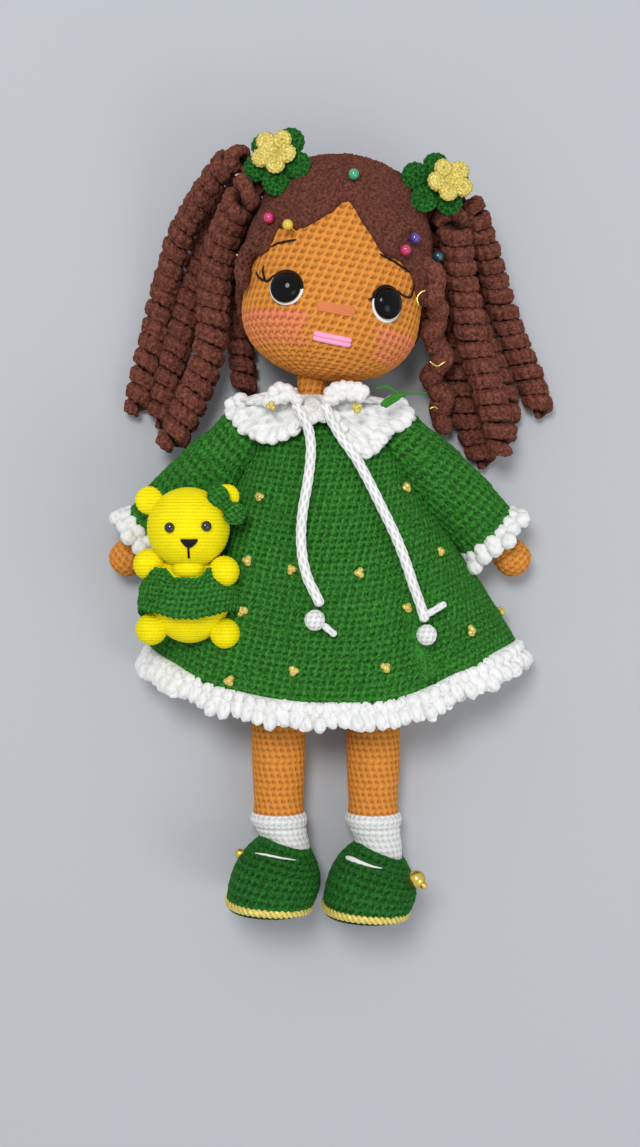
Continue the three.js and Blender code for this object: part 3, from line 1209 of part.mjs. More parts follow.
const bowCentre = vector(
  BEAR_X + BEAR_BOW_SHARES[0] * BEAR_HEAD_WIDTH / 2,
  BEAR_HEAD_Y + BEAR_BOW_SHARES[1] * BEAR_HEAD_HEIGHT / 2,
  BEAR_HEAD_Z + BEAR_BOW_SHARES[2] * BEAR_HEAD_DEPTH / 2,
);
const bowLobes = Object.values(SIDES).map((side) => {
  const [place, long, broad] = BEAR_BOW_LOBE_SHARES.map((share) => share * BEAR_BOW_WIDTH);
  const lobe = ball(vector(side * place, 0, 0), long, broad, BEAR_BOW_THICKNESS / 2, SMALL_SIDES, SMALL_ROWS);
  return solidOf(lobe.rotateZ(BEAR_BOW_TURN).translate(bowCentre.x, bowCentre.y, bowCentre.z));
});
const bow = cut(join(...bowLobes), solidOf(bearHeadForm(GAP)), ...bearEars(GAP));
addPiece('bear_bow', geometryFrom(bow), MATERIALS.green);

export default doll;
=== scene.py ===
"""Looks of a crocheted doll that lies on its back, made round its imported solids.

The shape functions work in millimetres on whole numpy arrays, and put() turns the result into metres. A surface is a
grid of rows and columns; its columns close into a ring, and its first and last rows close on a pole.
"""

import math

import bpy
import numpy as np
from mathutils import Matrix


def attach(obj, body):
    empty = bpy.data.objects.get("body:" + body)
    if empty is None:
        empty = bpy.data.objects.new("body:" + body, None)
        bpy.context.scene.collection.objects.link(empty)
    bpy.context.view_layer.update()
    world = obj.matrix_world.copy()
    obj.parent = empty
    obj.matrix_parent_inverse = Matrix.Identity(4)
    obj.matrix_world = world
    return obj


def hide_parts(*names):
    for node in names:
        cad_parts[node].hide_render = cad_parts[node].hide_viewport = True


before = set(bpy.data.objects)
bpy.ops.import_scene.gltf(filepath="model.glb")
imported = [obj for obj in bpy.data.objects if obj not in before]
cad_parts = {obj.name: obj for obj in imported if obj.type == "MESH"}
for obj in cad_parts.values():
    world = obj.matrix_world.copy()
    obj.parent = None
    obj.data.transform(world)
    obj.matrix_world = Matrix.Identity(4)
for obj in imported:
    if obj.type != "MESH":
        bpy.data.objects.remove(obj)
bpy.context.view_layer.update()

bl_info = {
    "name": "Crocheted doll",
    "version": (1, 0, 0),
    "blender": (4, 5, 0),
    "location": "3D View > Sidebar > Doll",
    "description": "Stitched surfaces, face, hair, clothes and stage of a crocheted doll",
    "category": "Object",
}

MM = 0.001
TURN = 2 * math.pi
QUARTER = math.pi / 2
UP = np.array([0, 0, 1.0])
SIDES = {"right": -1, "left": 1}
GAP = 0.35

# The photograph's camera: straight down from this height, with this focal length and middle in its pixels
CAMERA_HEIGHT = 620
FOCAL_PIXELS = 1540
MIDDLE_X, MIDDLE_Y = 320, 573.5
PHOTO_LONG_SIDE = 1147
SENSOR = 36


def linear(colour):
    """sRGB hex colour as linear red, green and blue: the usual curve with its straight start near black."""
    parts = [int(colour[k : k + 2], 16) / 255 for k in (1, 3, 5)]
    return tuple(c / 12.92 if c <= 0.04045 else ((c + 0.055) / 1.055) ** 2.4 for c in parts)


def length_setting(name, description, default):
    return bpy.props.FloatProperty(
        name=name, description=description, default=default * MM, min=0.0001, precision=5, unit="LENGTH"
    )


def colour_setting(name, description, default):
    return bpy.props.FloatVectorProperty(
        name=name, description=description, default=linear(default), size=3, min=0, max=1, subtype="COLOR"
    )


class StitchSettings(bpy.types.PropertyGroup):
    """Real sizes of the stitches"""

    head_width: length_setting("Head stitch", "Width of a stitch of the head", 3.25)
    head_rise: length_setting("Head row", "Height of a row of the head", 2.8)
    skin_width: length_setting("Limb stitch", "Width of a stitch of the arms, legs and torso", 2.75)
    skin_rise: length_setting("Limb row", "Height of a row of the arms, legs and torso", 2.5)
    dress_width: length_setting("Dress stitch", "Width of a stitch of the dress", 2.8)
    dress_rise: length_setting("Dress row", "Height of a row of the dress", 2.45)
    sleeve_width: length_setting("Sleeve stitch", "Width of a stitch of the sleeves and shoes", 3.0)
    sleeve_rise: length_setting("Sleeve row", "Height of a row of the sleeves", 3.6)
    hair_width: length_setting("Hair stitch", "Width of a stitch of the wig cap and the curls", 2.9)
    hair_rise: length_setting("Hair row", "Height of a row of the wig cap", 2.2)
    frill_width: length_setting("Frill stitch", "Width of a cluster of the frills", 4.7)
    bear_width: length_setting("Bear stitch", "Width of a stitch of the bear", 1.7)
    bear_rise: length_setting("Bear row", "Height of a row of the bear", 1.4)
    curl_pitch: length_setting("Curl pitch", "Distance from one turn of a curl to the next", 6.6)


class ColourSettings(bpy.types.PropertyGroup):
    """Yarn and trim colours"""

    skin: colour_setting("Skin", "Honey brown cotton", "#DC8D3A")
    blush: colour_setting("Blush", "Coral cotton on the cheeks", "#E4825A")
    hair: colour_setting("Hair", "Chestnut acrylic", "#63382C")
    dress: colour_setting("Dress", "Fir green acrylic", "#2B6A22")
    leaf: colour_setting("Leaf", "Fir green cotton of flowers and shoes", "#1E5C1D")
    white: colour_setting("Frills", "White cotton", "#ECECEA")
    gold: colour_setting("Gold", "Yellow yarn with a metal thread", "#D9BF3A")
    bear: colour_setting("Bear", "Lemon yellow cotton", "#F8E602")
    nose: colour_setting("Nose", "Rose beige cotton", "#D27C4E")
    mouth: colour_setting("Mouth", "Pink cotton", "#F5A3C5")
    floor: colour_setting("Floor", "Pale studio paper", "#B6B8BC")


class StageSettings(bpy.types.PropertyGroup):
    """Lamps of the stage"""

    key: bpy.props.FloatProperty(
        name="Key lamp", description="Power of the large lamp over the head", default=7.9, min=0, unit="POWER"
    )
    fill: bpy.props.FloatProperty(
        name="Fill lamp", description="Power of the lamp over the feet", default=3.0, min=0, unit="POWER"
    )
    sky: bpy.props.FloatProperty(name="Sky", description="Strength of the light from all round", default=0.6, min=0)


def settings():
    scene = bpy.context.scene
    return scene.doll_stitches, scene.doll_colours, scene.doll_stage


def stitch_of(kind):
    """Width of a stitch and height of its row in mm, where both are settings."""
    sizes = settings()[0]
    return getattr(sizes, f"{kind}_width") / MM, getattr(sizes, f"{kind}_rise", 0) / MM


# Numbers and surfaces


def mix(low, high, share):
    return low + (high - low) * share


def eased(share):
    """0 below 0, 1 above 1, and 3 s squared less 2 s cubed between."""
    s = np.clip(share, 0, 1)
    return s * s * (3 - 2 * s)


def power(value, exponent):
    """The value's size to an exponent, with its sign kept."""
    return np.sign(value) * np.abs(value) ** exponent


def unit(vectors):
    return vectors / np.maximum(np.linalg.norm(vectors, axis=-1, keepdims=True), 1e-9)


def turn_about(axis, angle):
    """Matrix of a turn about x, y or z by an angle."""
    c, s = math.cos(angle), math.sin(angle)
    a, b = [k for k in range(3) if k != axis]
    made = np.eye(3)
    made[a, a] = made[b, b] = c
    made[a, b], made[b, a] = (s, -s) if axis == 1 else (-s, s)
    return made


def chance(*values):
    """A fixed scatter from 0 to 1: the fraction of a large sine of the weighted sum of the values."""
    total = sum(np.asarray(v, float) * w for v, w in zip(values, (12.9898, 78.233, 37.719)))
    found = np.sin(total) * 43758.5453
    return found - np.floor(found)


def cloud(points, size, seed):
    """Soft noise from -1 to 1: the mean of twelve sine waves in fixed directions, about `size` long."""
    draw = np.random.default_rng(seed)
    waves = unit(draw.normal(size=(12, 3))) * TURN / size * draw.uniform(0.6, 1.5, (12, 1))
    return np.sin(points @ waves.T + draw.uniform(0, TURN, 12)).mean(axis=-1) * 2.2


def wander(along, size, seed):
    """Soft noise along a line, at distances from its start."""
    return cloud(np.stack([along, 0 * along, 0 * along], axis=-1), size, seed)


def gone_along(points):
    """Distance from a path's start to each of its points."""
    return np.concatenate([[0], np.cumsum(np.linalg.norm(np.diff(points, axis=0), axis=1))])


def even_angles(count, start=0.0):
    """Even angles once round, without the last."""
    return np.linspace(start, start + TURN, count, endpoint=False)


def smooth_table(rows):
    """A table of shares made dense, on a curve through its rows, for np.interp on its first column."""
    return through(rows, 400)


def look_up(table, at):
    """The other columns of a dense table at values of its first column."""
    return [np.interp(at, table[:, 0], table[:, k]) for k in range(1, table.shape[1])]


def through(points, count):
    """Catmull-Rom curve through points with knots spaced by the root of their distance, at even steps of its length."""
    p = np.array(points, float)
    p = np.vstack([2 * p[0] - p[1], p, 2 * p[-1] - p[-2]])
    t = np.concatenate([[0], np.cumsum(np.linalg.norm(np.diff(p, axis=0), axis=1) ** 0.5)])
    u = np.linspace(t[1], t[-2], 80 * (len(points) - 1) + 1)
    i = np.clip(np.searchsorted(t, u, side="right") - 1, 1, len(t) - 3)
    p0, p1, p2, p3 = (p[i + k] for k in (-1, 0, 1, 2))
    t0, t1, t2, t3 = (t[i + k][:, None] for k in (-1, 0, 1, 2))
    u = u[:, None]
    a1, a2, a3 = (mix(p, q, (u - s) / (t - s)) for p, q, s, t in ((p0, p1, t0, t1), (p1, p2, t1, t2), (p2, p3, t2, t3)))
    b1, b2 = mix(a1, a2, (u - t0) / (t2 - t0)), mix(a2, a3, (u - t1) / (t3 - t1))
    found = mix(b1, b2, (u - t1) / (t2 - t1))
    gone = gone_along(found)
    even = np.linspace(0, gone[-1], count)
    return np.stack([np.interp(even, gone, found[:, k]) for k in range(p.shape[1])], axis=1)


def length_of(points):
    return float(np.linalg.norm(np.diff(points, axis=0), axis=1).sum())


def spread(points_at, low, high, step):
    """Parameter values from low to high whose points lie a step apart; step is a length or a function of the value."""
    fine = np.linspace(low, high, 1200)
    points = points_at(fine)
    middle = (fine[1:] + fine[:-1]) / 2
    size = step(middle) if callable(step) else step
    gone = np.concatenate([[0], np.cumsum(np.linalg.norm(np.diff(points, axis=0), axis=1) / size)])
    return np.interp(np.linspace(0, gone[-1], max(4, round(gone[-1])) + 1), gone, fine)


def volume_of(points, faces):
    """Signed volume inside faces: a sixth of the sum of corner triple products, so it is positive if they look out."""
    total = 0
    for group in faces:
        for k in range(1, group.shape[1] - 1):
            a, b, c = points[group[:, 0]], points[group[:, k]], points[group[:, k + 1]]
            total += np.einsum("ij,ij->", a, np.cross(b, c))
    return total / 6


def skin(points, loop=False, **facts):
    """Closed mesh of a grid whose columns wrap, with a pole at each end or rows that wrap too; its faces look out."""
    rows, columns = points.shape[:2]
    flat = points.reshape(-1, 3)
    index = np.arange(rows * columns).reshape(rows, columns)
    aside = np.roll(index, -1, axis=1)
    low, low_aside = (index, aside) if loop else (index[:-1], aside[:-1])
    high, high_aside = (np.roll(v, -1, axis=0) if loop else v[1:] for v in (index, aside))
    faces = [np.stack([low, low_aside, high_aside, high], axis=-1).reshape(-1, 4)]
    values = {name: np.broadcast_to(value, (rows, columns)).reshape(-1) for name, value in facts.items()}
    if not loop:
        flat = np.vstack([flat, points[0].mean(axis=0), points[-1].mean(axis=0)])
        foot = np.full(columns, rows * columns)
        faces += [np.stack([foot, aside[0], index[0]], axis=-1), np.stack([foot + 1, index[-1], aside[-1]], axis=-1)]
        values = {
            name: np.concatenate([value, [value[:columns].mean(), value[-columns:].mean()]])
            for name, value in values.items()
        }
    if volume_of(flat, faces) < 0:
        faces = [group[:, ::-1] for group in faces]
    return {"points": flat, "faces": faces, "facts": values}


def normals_of(grid, loop=False):
    """Outward directions on a grid: across its columns times along its rows, turned so that its volume is positive."""
    across = np.roll(grid, -1, axis=1) - np.roll(grid, 1, axis=1)
    along = np.roll(grid, -1, axis=0) - np.roll(grid, 1, axis=0)
    if not loop:
        along[0], along[-1] = grid[1] - grid[0], grid[-1] - grid[-2]
    found = unit(np.cross(across, along))
    first = skin(grid, loop)["faces"][0][0]
    return found if first[0] == 0 and first[1] == 1 else -found


def vee(across, up, width, rise):
    """Height of a V stitch: two legs lean out from its foot, each a half round bar that swells at its middle."""
    foot, head = 0.07 * width, 0.3 * width
    long = (head - foot) ** 2 + rise**2
    share = np.clip(((across - foot) * (head - foot) + up * rise) / long, 0, 1)
    off = np.hypot(across - foot - share * (head - foot), up - share * rise) / (0.25 * width)
    return np.sqrt(np.clip(1 - off * off, 0, 1)) * (0.8 + 0.2 * np.sin(math.pi * share))


def half_round(away):
    """Section of a round strand: the root of one less the square of the distance from its middle."""
    return np.sqrt(np.clip(1 - away * away, 0, 1))


def nearest(value):
    """The value less the whole number nearest to it."""
    return value - np.round(value)


def single_crochet(across, up):
    """Height of a single crochet stitch in its cell: a humped bar along the top of the row, a stout leg that leans
    one way up to it and a thinner one that leans the other way."""
    hump = 0.8 + 0.2 * np.cos(TURN * (across - 0.25))
    bar = hump * half_round((up - 0.72 - 0.1 * np.cos(TURN * (across - 0.2))) / 0.36)
    stout = 0.85 * half_round(nearest(across - 0.02 - 0.4 * up) / 0.23)
    thin = 0.4 * half_round(nearest(across - 0.62 + 0.1 * up) / 0.13)
    return np.maximum(bar, np.maximum(stout, thin) * eased(up * 5 + 0.35) * (up < 0.8))


def ridge(across, up):
    """Height of a fine tight row: one round ridge with a faint swell at each stitch."""
    return half_round((up - 0.5) / 0.5) * (0.9 + 0.1 * np.cos(TURN * across))


def stitches(across_in, up, width, rise, seed, wrap=0, form=single_crochet, drift=0.26):
    """Relief of rows of stitches from 0 in the gaps to 1: knitted Vs have each row half a stitch aside from the one
    below, and crochet a quarter."""
    row = np.floor(up)
    top = 0
    for step in (-1, 0, 1) if form is vee else (-1, 0):
        number = row + step
        known = number % wrap if wrap else number
        across, count = across_in(known)
        across = across + (0.5 * (known % 2) if form is vee else -drift * known)
        cell = np.floor(across)
        luck = chance(cell % count if count is not None else cell, known, seed)
        if form is vee:
            aside = np.abs(across - cell - 0.5 + 0.08 * (luck - 0.5)) * width
            found = vee(aside, (up - number) * rise, width, rise)
        else:
            found = form(across + 0.07 * (luck - 0.5), up - number + 0.06 * (luck - 0.5))
        top = np.maximum(top, found * (0.84 + 0.16 * luck))
    return top


def worked(grid, stitch, height, seed=1, loop=False, cover=1.0, extra=0.0, form=single_crochet):
    """Skin worked in rounds: stitches are counted on each round's own length and raised along the normals.

    cover scales the relief and extra adds to its height, over the whole grid or row by row."""
    width, rise = stitch
    sides = np.linalg.norm(np.roll(grid, -1, axis=1) - grid, axis=2)
    gone = np.cumsum(sides, axis=1) - sides
    total = sides.sum(axis=1, keepdims=True)
    steps = np.linalg.norm(np.diff(grid, axis=0), axis=2).mean(axis=1)
    up = np.concatenate([[0], np.cumsum(steps)])[:, None] / rise
    numbers = np.arange(math.ceil(up[-1, 0]) + 2)
    counts = np.maximum(6, np.round(np.interp(numbers + 0.5, up[:, 0], total[:, 0]) / width))

    def across_in(number):
        count = counts[np.clip(number, 0, len(counts) - 1).astype(int)]
        return (gone / total - 0.5) * count, count

    relief = stitches(across_in, up, width, rise, seed, form=form)
    rise_by = height * (relief - 0.5) * cover + extra
    return skin(grid + normals_of(grid, loop) * rise_by[..., None], loop, relief=mix(1, relief, cover))


def ellipsoid(centre, halves, axes=np.eye(3)):
    """Surface function of an egg about its second axis: the sine of the rise up it, and the cosine of the rise times
    the sine and the cosine of the angle round it, each times that way's half."""

    def shape(rise, around):
        x = np.cos(rise) * np.sin(around) * halves[0]
        y = np.sin(rise) * halves[1] * np.ones_like(around)
        z = np.cos(rise) * np.cos(around) * halves[2]
        return np.stack([x, y, z], axis=-1) @ axes.T + centre

    return shape


def worked_egg(centre, halves, stitch, height, fine=0.45, axes=np.eye(3), seed=1, dent=None, form=single_crochet):
    """An egg worked in rounds from foot to top; dent is the depth, size and middle of a hollow and the way it faces."""
    shape = ellipsoid(centre, halves, axes)
    pole = 0.04
    rows = spread(lambda v: shape(v, np.zeros_like(v)), -QUARTER + pole, QUARTER - pole, fine)
    columns = spread(lambda a: shape(np.zeros_like(a), a), -math.pi, math.pi, fine)[:-1]
    grid, extra = shape(rows[:, None], columns), 0.0
    if dent:
        depth, size, middle, way = dent
        extra = -depth * np.exp(-np.sum(((grid - middle) / size) ** 2, axis=-1)) * ((grid - middle) @ way > 0)
    return worked(grid, stitch, height, seed, extra=extra, form=form)


def squared(way, out):
    """Matrix of three directions square to each other: a side, the way itself, and the outward one nearest to `out`."""
    aside = unit(np.cross(way, out))
    return np.column_stack([aside, way, np.cross(aside, way)])


def puff(centre, halves, seed, axes=np.eye(3)):
    """A popcorn stitch: an egg of five thick strands that run from pole to pole, with uneven bulges."""
    rise = np.linspace(-QUARTER + 0.08, QUARTER - 0.08, 12)[:, None]
    around = even_angles(22, -math.pi)
    grid = ellipsoid(np.zeros(3), halves, axes)(rise, around)
    strand = half_round(nearest(around / TURN * 5 + 0.3 * rise + 0.37 * seed) * 1.92)
    fluff = cloud(grid + seed, 2.6, seed % 7)
    grown = grid * (1 + 0.13 * (strand - 0.75) + 0.1 * fluff)[..., None]
    return skin(grown + centre, relief=np.clip(0.2 + 0.7 * strand + 0.25 * fluff, 0, 1))


def spoke(angle, across, up):
    """Directions at angles from `across` towards `up`."""
    return np.cos(angle)[..., None] * across + np.sin(angle)[..., None] * up


def frames_along(points):
    """Direction, level side and rise of a path at each of its points."""
    ahead = unit(np.gradient(points, axis=0))
    side = unit(np.cross(ahead, UP))
    return ahead, side, np.cross(side, ahead)


def ends_round(count, length, radius):
    """Share of the radius near a tube's two ends, where it closes as a half ball."""
    gone = np.linspace(0, length, count)
    near = np.clip(1 - np.minimum(gone, length - gone) / radius, 0, 1)
    return np.sqrt(np.clip(1 - near**2, 0.0004, 1))


def tube(points, radius, sides=10):
    """Round tube along a path with closed round ends; radius is one number or one for each point."""
    _, side, rise = frames_along(points)
    reach = radius * ends_round(len(points), length_of(points), float(np.max(radius)))
    ring = spoke(even_angles(sides), side[:, None], rise[:, None])
    return skin(points[:, None] + ring * reach[:, None, None], relief=1.0)


def worked_cord(points, radius, stitch, height, sides=18, seed=1, flat=1.0):
    """Knitted cord: a tube whose V stitches run lengthwise in a few rows round it."""
    width, rise = stitch
    _, side, up = frames_along(points)
    angle = even_angles(sides)
    length, widest = length_of(points), float(np.max(radius))
    reach = (radius * ends_round(len(points), length, widest))[:, None]
    gone = np.linspace(0, length, len(points))[:, None]
    rows = max(2, 2 * round(TURN * widest / width / 2))
    across = np.broadcast_to(angle / TURN * rows, (len(points), sides))
    relief = stitches(lambda number: (across, rows), gone / rise, width, rise, seed, form=vee)
    grown = reach + height * (relief - 0.5) * eased(reach / widest * 2 - 1)
    ring = spoke(angle, side[:, None], flat * up[:, None])
    return skin(points[:, None] + ring * grown[..., None], relief=relief)


def above_table(made, low=0.05):
    """Raises the points of a skin that lie below a level."""
    made["points"][:, 2] = np.maximum(made["points"][:, 2], low)
    return made


def put(name, skins, material, body, replaced=None):
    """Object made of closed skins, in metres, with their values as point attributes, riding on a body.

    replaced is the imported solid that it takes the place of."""
    skins = [skins] if isinstance(skins, dict) else skins
    starts = np.cumsum([0] + [len(s["points"]) for s in skins])
    points = np.vstack([s["points"] for s in skins]) * MM
    groups = [group + start for s, start in zip(skins, starts) for group in s["faces"]]
    mesh = bpy.data.meshes.new(name)
    mesh.vertices.add(len(points))
    mesh.vertices.foreach_set("co", points.astype(np.float32).ravel())
    sizes = np.concatenate([np.full(len(g), g.shape[1]) for g in groups])
    mesh.loops.add(int(sizes.sum()))
    mesh.loops.foreach_set("vertex_index", np.concatenate([g.ravel() for g in groups]).astype(np.int32))
    mesh.polygons.add(len(sizes))
    mesh.polygons.foreach_set("loop_start", np.concatenate([[0], np.cumsum(sizes)[:-1]]).astype(np.int32))
    mesh.polygons.foreach_set("use_smooth", np.ones(len(sizes), bool))
    mesh.update(calc_edges=True)
    for fact in skins[0]["facts"]:
        values = np.concatenate([s["facts"][fact] for s in skins]).astype(np.float32)
        mesh.attributes.new(fact, "FLOAT", "POINT").data.foreach_set("value", values)
    mesh.materials.append(material)
    made = bpy.data.objects.new(name, mesh)
    bpy.context.scene.collection.objects.link(made)
    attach(made, body)
    if replaced:
        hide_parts(replaced)
    return made


# Materials


def node(tree, kind, values=None, links=None):
    """Adds a node, or takes one that is there, sets its properties or unlinked sockets, and links the rest."""
    made = tree.nodes.new("ShaderNode" + kind) if isinstance(kind, str) else kind
    for key, value in (values or {}).items():
        if isinstance(key, str) and hasattr(made, key):
            setattr(made, key, value)
        else:
            made.inputs[key].default_value = value
    for key, source in (links or {}).items():
        tree.links.new(source, made.inputs[key])
    return made


def new_material(name):
    """A material with its own Principled shader and Object coordinates, or the one of that name that is there."""
    if name in bpy.data.materials and bpy.data.materials[name].get("doll_ready"):
        return bpy.data.materials[name], None, None, None
    made = bpy.data.materials.new(name)
    made.use_nodes = True
    made["doll_ready"] = True
    tree = made.node_tree
    return made, tree, tree.nodes["Principled BSDF"], {"Vector": node(tree, "TexCoord").outputs["Object"]}


def toned(colour, factor):
    return tuple(min(1.0, c * factor) for c in colour[:3]) + (1,)


def grey(level):
    return (level, level, level, 1)


def yarn(name, colour, fibre=0.5, gap_shade=0.22, light=1.45, fuzz=0.3, mottle=0.5, roughness=0.9, spots=None, accent=None):
    """Yarn: painted shade darkens the gaps of the relief, with fibres lighter and darker than the base and a sheen of
    loose hairs.

    fibre is the size in mm of the light and dark flecks; accent is a second colour carried by the blush attribute."""
    made, tree, shader, place = new_material(name)
    if tree is None:
        return made
    blend, times = {"data_type": "RGBA"}, {"data_type": "RGBA", "blend_type": "MULTIPLY", 0: 1.0}
    relief = node(tree, "Attribute", {"attribute_name": "relief"}).outputs["Fac"]
    fine = node(tree, "TexNoise", {"Scale": 1 / (fibre * MM), "Detail": 3, "Roughness": 0.65}, place).outputs["Fac"]
    wide = node(tree, "TexNoise", {"Scale": 1 / (fibre * 14 * MM), "Detail": 2}, place).outputs["Fac"]
    # depth is the mask of the painted shade: low where the relief is low, in the gaps between stitches
    depth = node(tree, "MapRange", {"From Max": 0.75}, {"Value": relief}).outputs["Result"]
    fleck = node(tree, "MapRange", {"From Min": 0.36, "From Max": 0.68, "To Max": mottle}, {"Value": fine})
    tone = node(tree, "MapRange", {"From Min": 0.3, "From Max": 0.7, "To Max": 0.35}, {"Value": wide})
    shades = {6: toned(colour, 1), 7: toned(colour, 0.76)}
    base = node(tree, "Mix", blend | shades, {0: tone.outputs["Result"]}).outputs[2]
    if spots:
        blot = node(tree, "TexNoise", {"Scale": 1 / (spots * MM), "Detail": 2}, place).outputs["Fac"]
        sharp = node(tree, "MapRange", {"From Min": 0.36, "From Max": 0.64}, {"Value": blot}).outputs["Result"]
        shade = node(tree, "Mix", blend | {6: grey(0.62), 7: grey(1.5)}, {0: sharp}).outputs[2]
        base = node(tree, "Mix", times, {6: base, 7: shade}).outputs[2]
    if accent is not None:
        blush = node(tree, "Attribute", {"attribute_name": "blush"}).outputs["Fac"]
        base = node(tree, "Mix", blend | {7: toned(accent, 1)}, {0: blush, 6: base}).outputs[2]
    lit = node(tree, "Mix", times | {7: grey(light)}, {6: base}).outputs[2]
    flecked = node(tree, "Mix", blend, {0: fleck.outputs["Result"], 6: base, 7: lit}).outputs[2]
    # painted shade: the base darkened by the gap factor, laid in the gaps of the relief
    dark = node(tree, "Mix", times | {7: grey(gap_shade)}, {6: base}).outputs[2]
    final = node(tree, "Mix", blend, {0: depth, 6: dark, 7: flecked}).outputs[2]
    bump = node(tree, "Bump", {"Strength": 0.55, "Distance": 0.35 * fibre * MM}, {"Height": fine}).outputs["Normal"]
    node(tree, shader, {
        "Roughness": roughness, "Specular IOR Level": 0.18, "Sheen Weight": fuzz, "Sheen Roughness": 0.55,
        "Sheen Tint": toned(colour, 1.6),
    }, {"Base Color": final, "Normal": bump})
    return made


def skin_yarn():
    """Honey brown mercerised cotton: smooth strands with painted shade in their small gaps, and coral yarn in the cheek
    rows.
    """
    colours = settings()[1]
    return yarn("skin_cotton", colours.skin, 0.55, 0.42, 1.28, 0.15, 0.5, 0.8, accent=colours.blush)


def hair_yarn(tone=1.0):
    """Chestnut brushed acrylic: fuzzy and mottled, with near black painted shade in its gaps."""
    colour = toned(settings()[1].hair, tone)
    name = "hair_brushed_acrylic" if tone == 1 else "hair_cap_acrylic"
    return yarn(name, colour, 0.6, 0.14, 1.6, 0.3, 0.7, 0.95, spots=1.1)


def dress_yarn():
    """Fir green acrylic of the dress and the bear's clothes: fuzzy, mottled with lighter loose fibres."""
    return yarn("dress_green_acrylic", settings()[1].dress, 0.6, 0.3, 1.6, 0.25, 0.7, 0.95, spots=1.0)


def leaf_yarn():
    """Fir green cotton of the lower flowers and the shoes: denser and less fuzzy than the dress."""
    return yarn("leaf_green_cotton", settings()[1].leaf, 0.5, 0.3, 1.5, 0.2, 0.6, 0.85, spots=1.0)


def white_yarn():
    """White cotton: the painted shade in its gaps is only pale grey, because light passes through it."""
    return yarn("white_cotton", settings()[1].white, 0.6, 0.6, 1.05, 0.2, 0.5, 0.85)


def gold_yarn():
    """Pale yellow yarn spun with a metal thread, which glitters in small flecks, with painted shade in the gaps of its
    relief.
    """
    made, tree, shader, place = new_material("gold_metal_yarn")
    if tree is None:
        return made
    colour = settings()[1].gold
    relief = node(tree, "Attribute", {"attribute_name": "relief"}).outputs["Fac"]
    fleck = node(tree, "TexVoronoi", {"Scale": 1 / (0.55 * MM)}, place)
    away = fleck.outputs["Distance"]
    shine = node(tree, "MapRange", {"From Min": 0.15, "From Max": 0.5, "To Min": 0.95, "To Max": 0.0}, {"Value": away})
    soft = node(tree, "MapRange", {"To Max": 0.55}, {"Value": fleck.outputs["Color"]}).outputs["Result"]
    # painted shade: the gold darkened to 0.38 of its colour where the relief is low, in the gaps
    base = node(tree, "Mix", {"data_type": "RGBA", 6: toned(colour, 0.38), 7: toned(colour, 1)}, {0: relief}).outputs[2]
    bright = node(tree, "Mix", {"data_type": "RGBA", 7: linear("#FFF0A0") + (1,)}, {0: soft, 6: base}).outputs[2]
    bump = node(tree, "Bump", {"Strength": 0.6, "Distance": 0.15 * MM}, {"Height": away}).outputs["Normal"]
    node(tree, shader, {"Roughness": 0.42},
         {"Base Color": bright, "Metallic": shine.outputs["Result"], "Normal": bump})
    return made


def bear_yarn():
    """Lemon yellow cotton in fine tight rows."""
    return yarn("bear_yellow_cotton", settings()[1].bear, 0.35, 0.62, 1.1, 0.1, 0.4, 0.8)


def plain_thread(name, colour, fibre=0.3, roughness=0.75):
    """Embroidery thread in one colour, with the fine grain of its strands."""
    return yarn(name, colour, fibre, 0.6, 1.25, 0.1, 0.5, roughness)


def black_thread():
    """Black embroidery cotton."""
    return plain_thread("thread_black_cotton", linear("#17110F"))


def gloss(name, colour, roughness, coat=0.0, metallic=0.0, grain=0.0, shine=0.5):
    """Smooth hard finish with faint scuffs in its roughness, and a clear coat where the real one has it."""
    made, tree, shader, place = new_material(name)
    if tree is None:
        return made
    haze = node(tree, "TexNoise", {"Scale": 1 / (3 * MM), "Detail": 4}, place).outputs["Fac"]
    rough = node(tree, "MapRange", {"To Min": roughness * 0.8, "To Max": roughness * 1.3}, {"Value": haze})
    shade = node(tree, "Mix", {"data_type": "RGBA", 6: toned(colour, 0.92), 7: toned(colour, 1.05)}, {0: haze})
    links = {"Roughness": rough.outputs["Result"], "Base Color": shade.outputs[2]}
    if grain:
        bump = node(tree, "Bump", {"Strength": grain, "Distance": 0.05 * MM}, {"Height": haze})
        links["Normal"] = bump.outputs["Normal"]
    node(tree, shader, {
        "Metallic": metallic, "Coat Weight": coat, "Coat Roughness": 0.04, "Specular IOR Level": shine,
    }, links)
    return made


def eye_shell():
    """Black moulded acrylic of a safety eye, polished."""
    return gloss("eye_black_acrylic", linear("#020203"), 0.05, shine=0.16)


def steel():
    """Drawn steel wire of the neck rod."""
    return gloss("drawn_steel", linear("#B9BCC0"), 0.3, metallic=1.0, grain=0.2)


def bead_gold():
    """Gold plate of the shoes' beads and the wire pins."""
    return gloss("plated_gold", linear("#D9BE58"), 0.22, metallic=0.9, coat=0.3)


# Head shapes, in the head's own frame: x across the face, y up from the chin, z forward

HEAD_WIDTH, HEAD_HEIGHT, HEAD_DEPTH = 67.2, 84, 62
HEAD_WIDEST_SHARE = 0.31
CHIN_SHORTER = 1.7
CROWN_POWER, CHIN_POWER = 2.6, 2.2
HEAD_PLACE = np.array([0.2, 72.5, 33.85])
HEAD_MATRIX = turn_about(2, math.radians(-8.5)) @ turn_about(1, math.radians(4))
WIG_REACH = 3.35
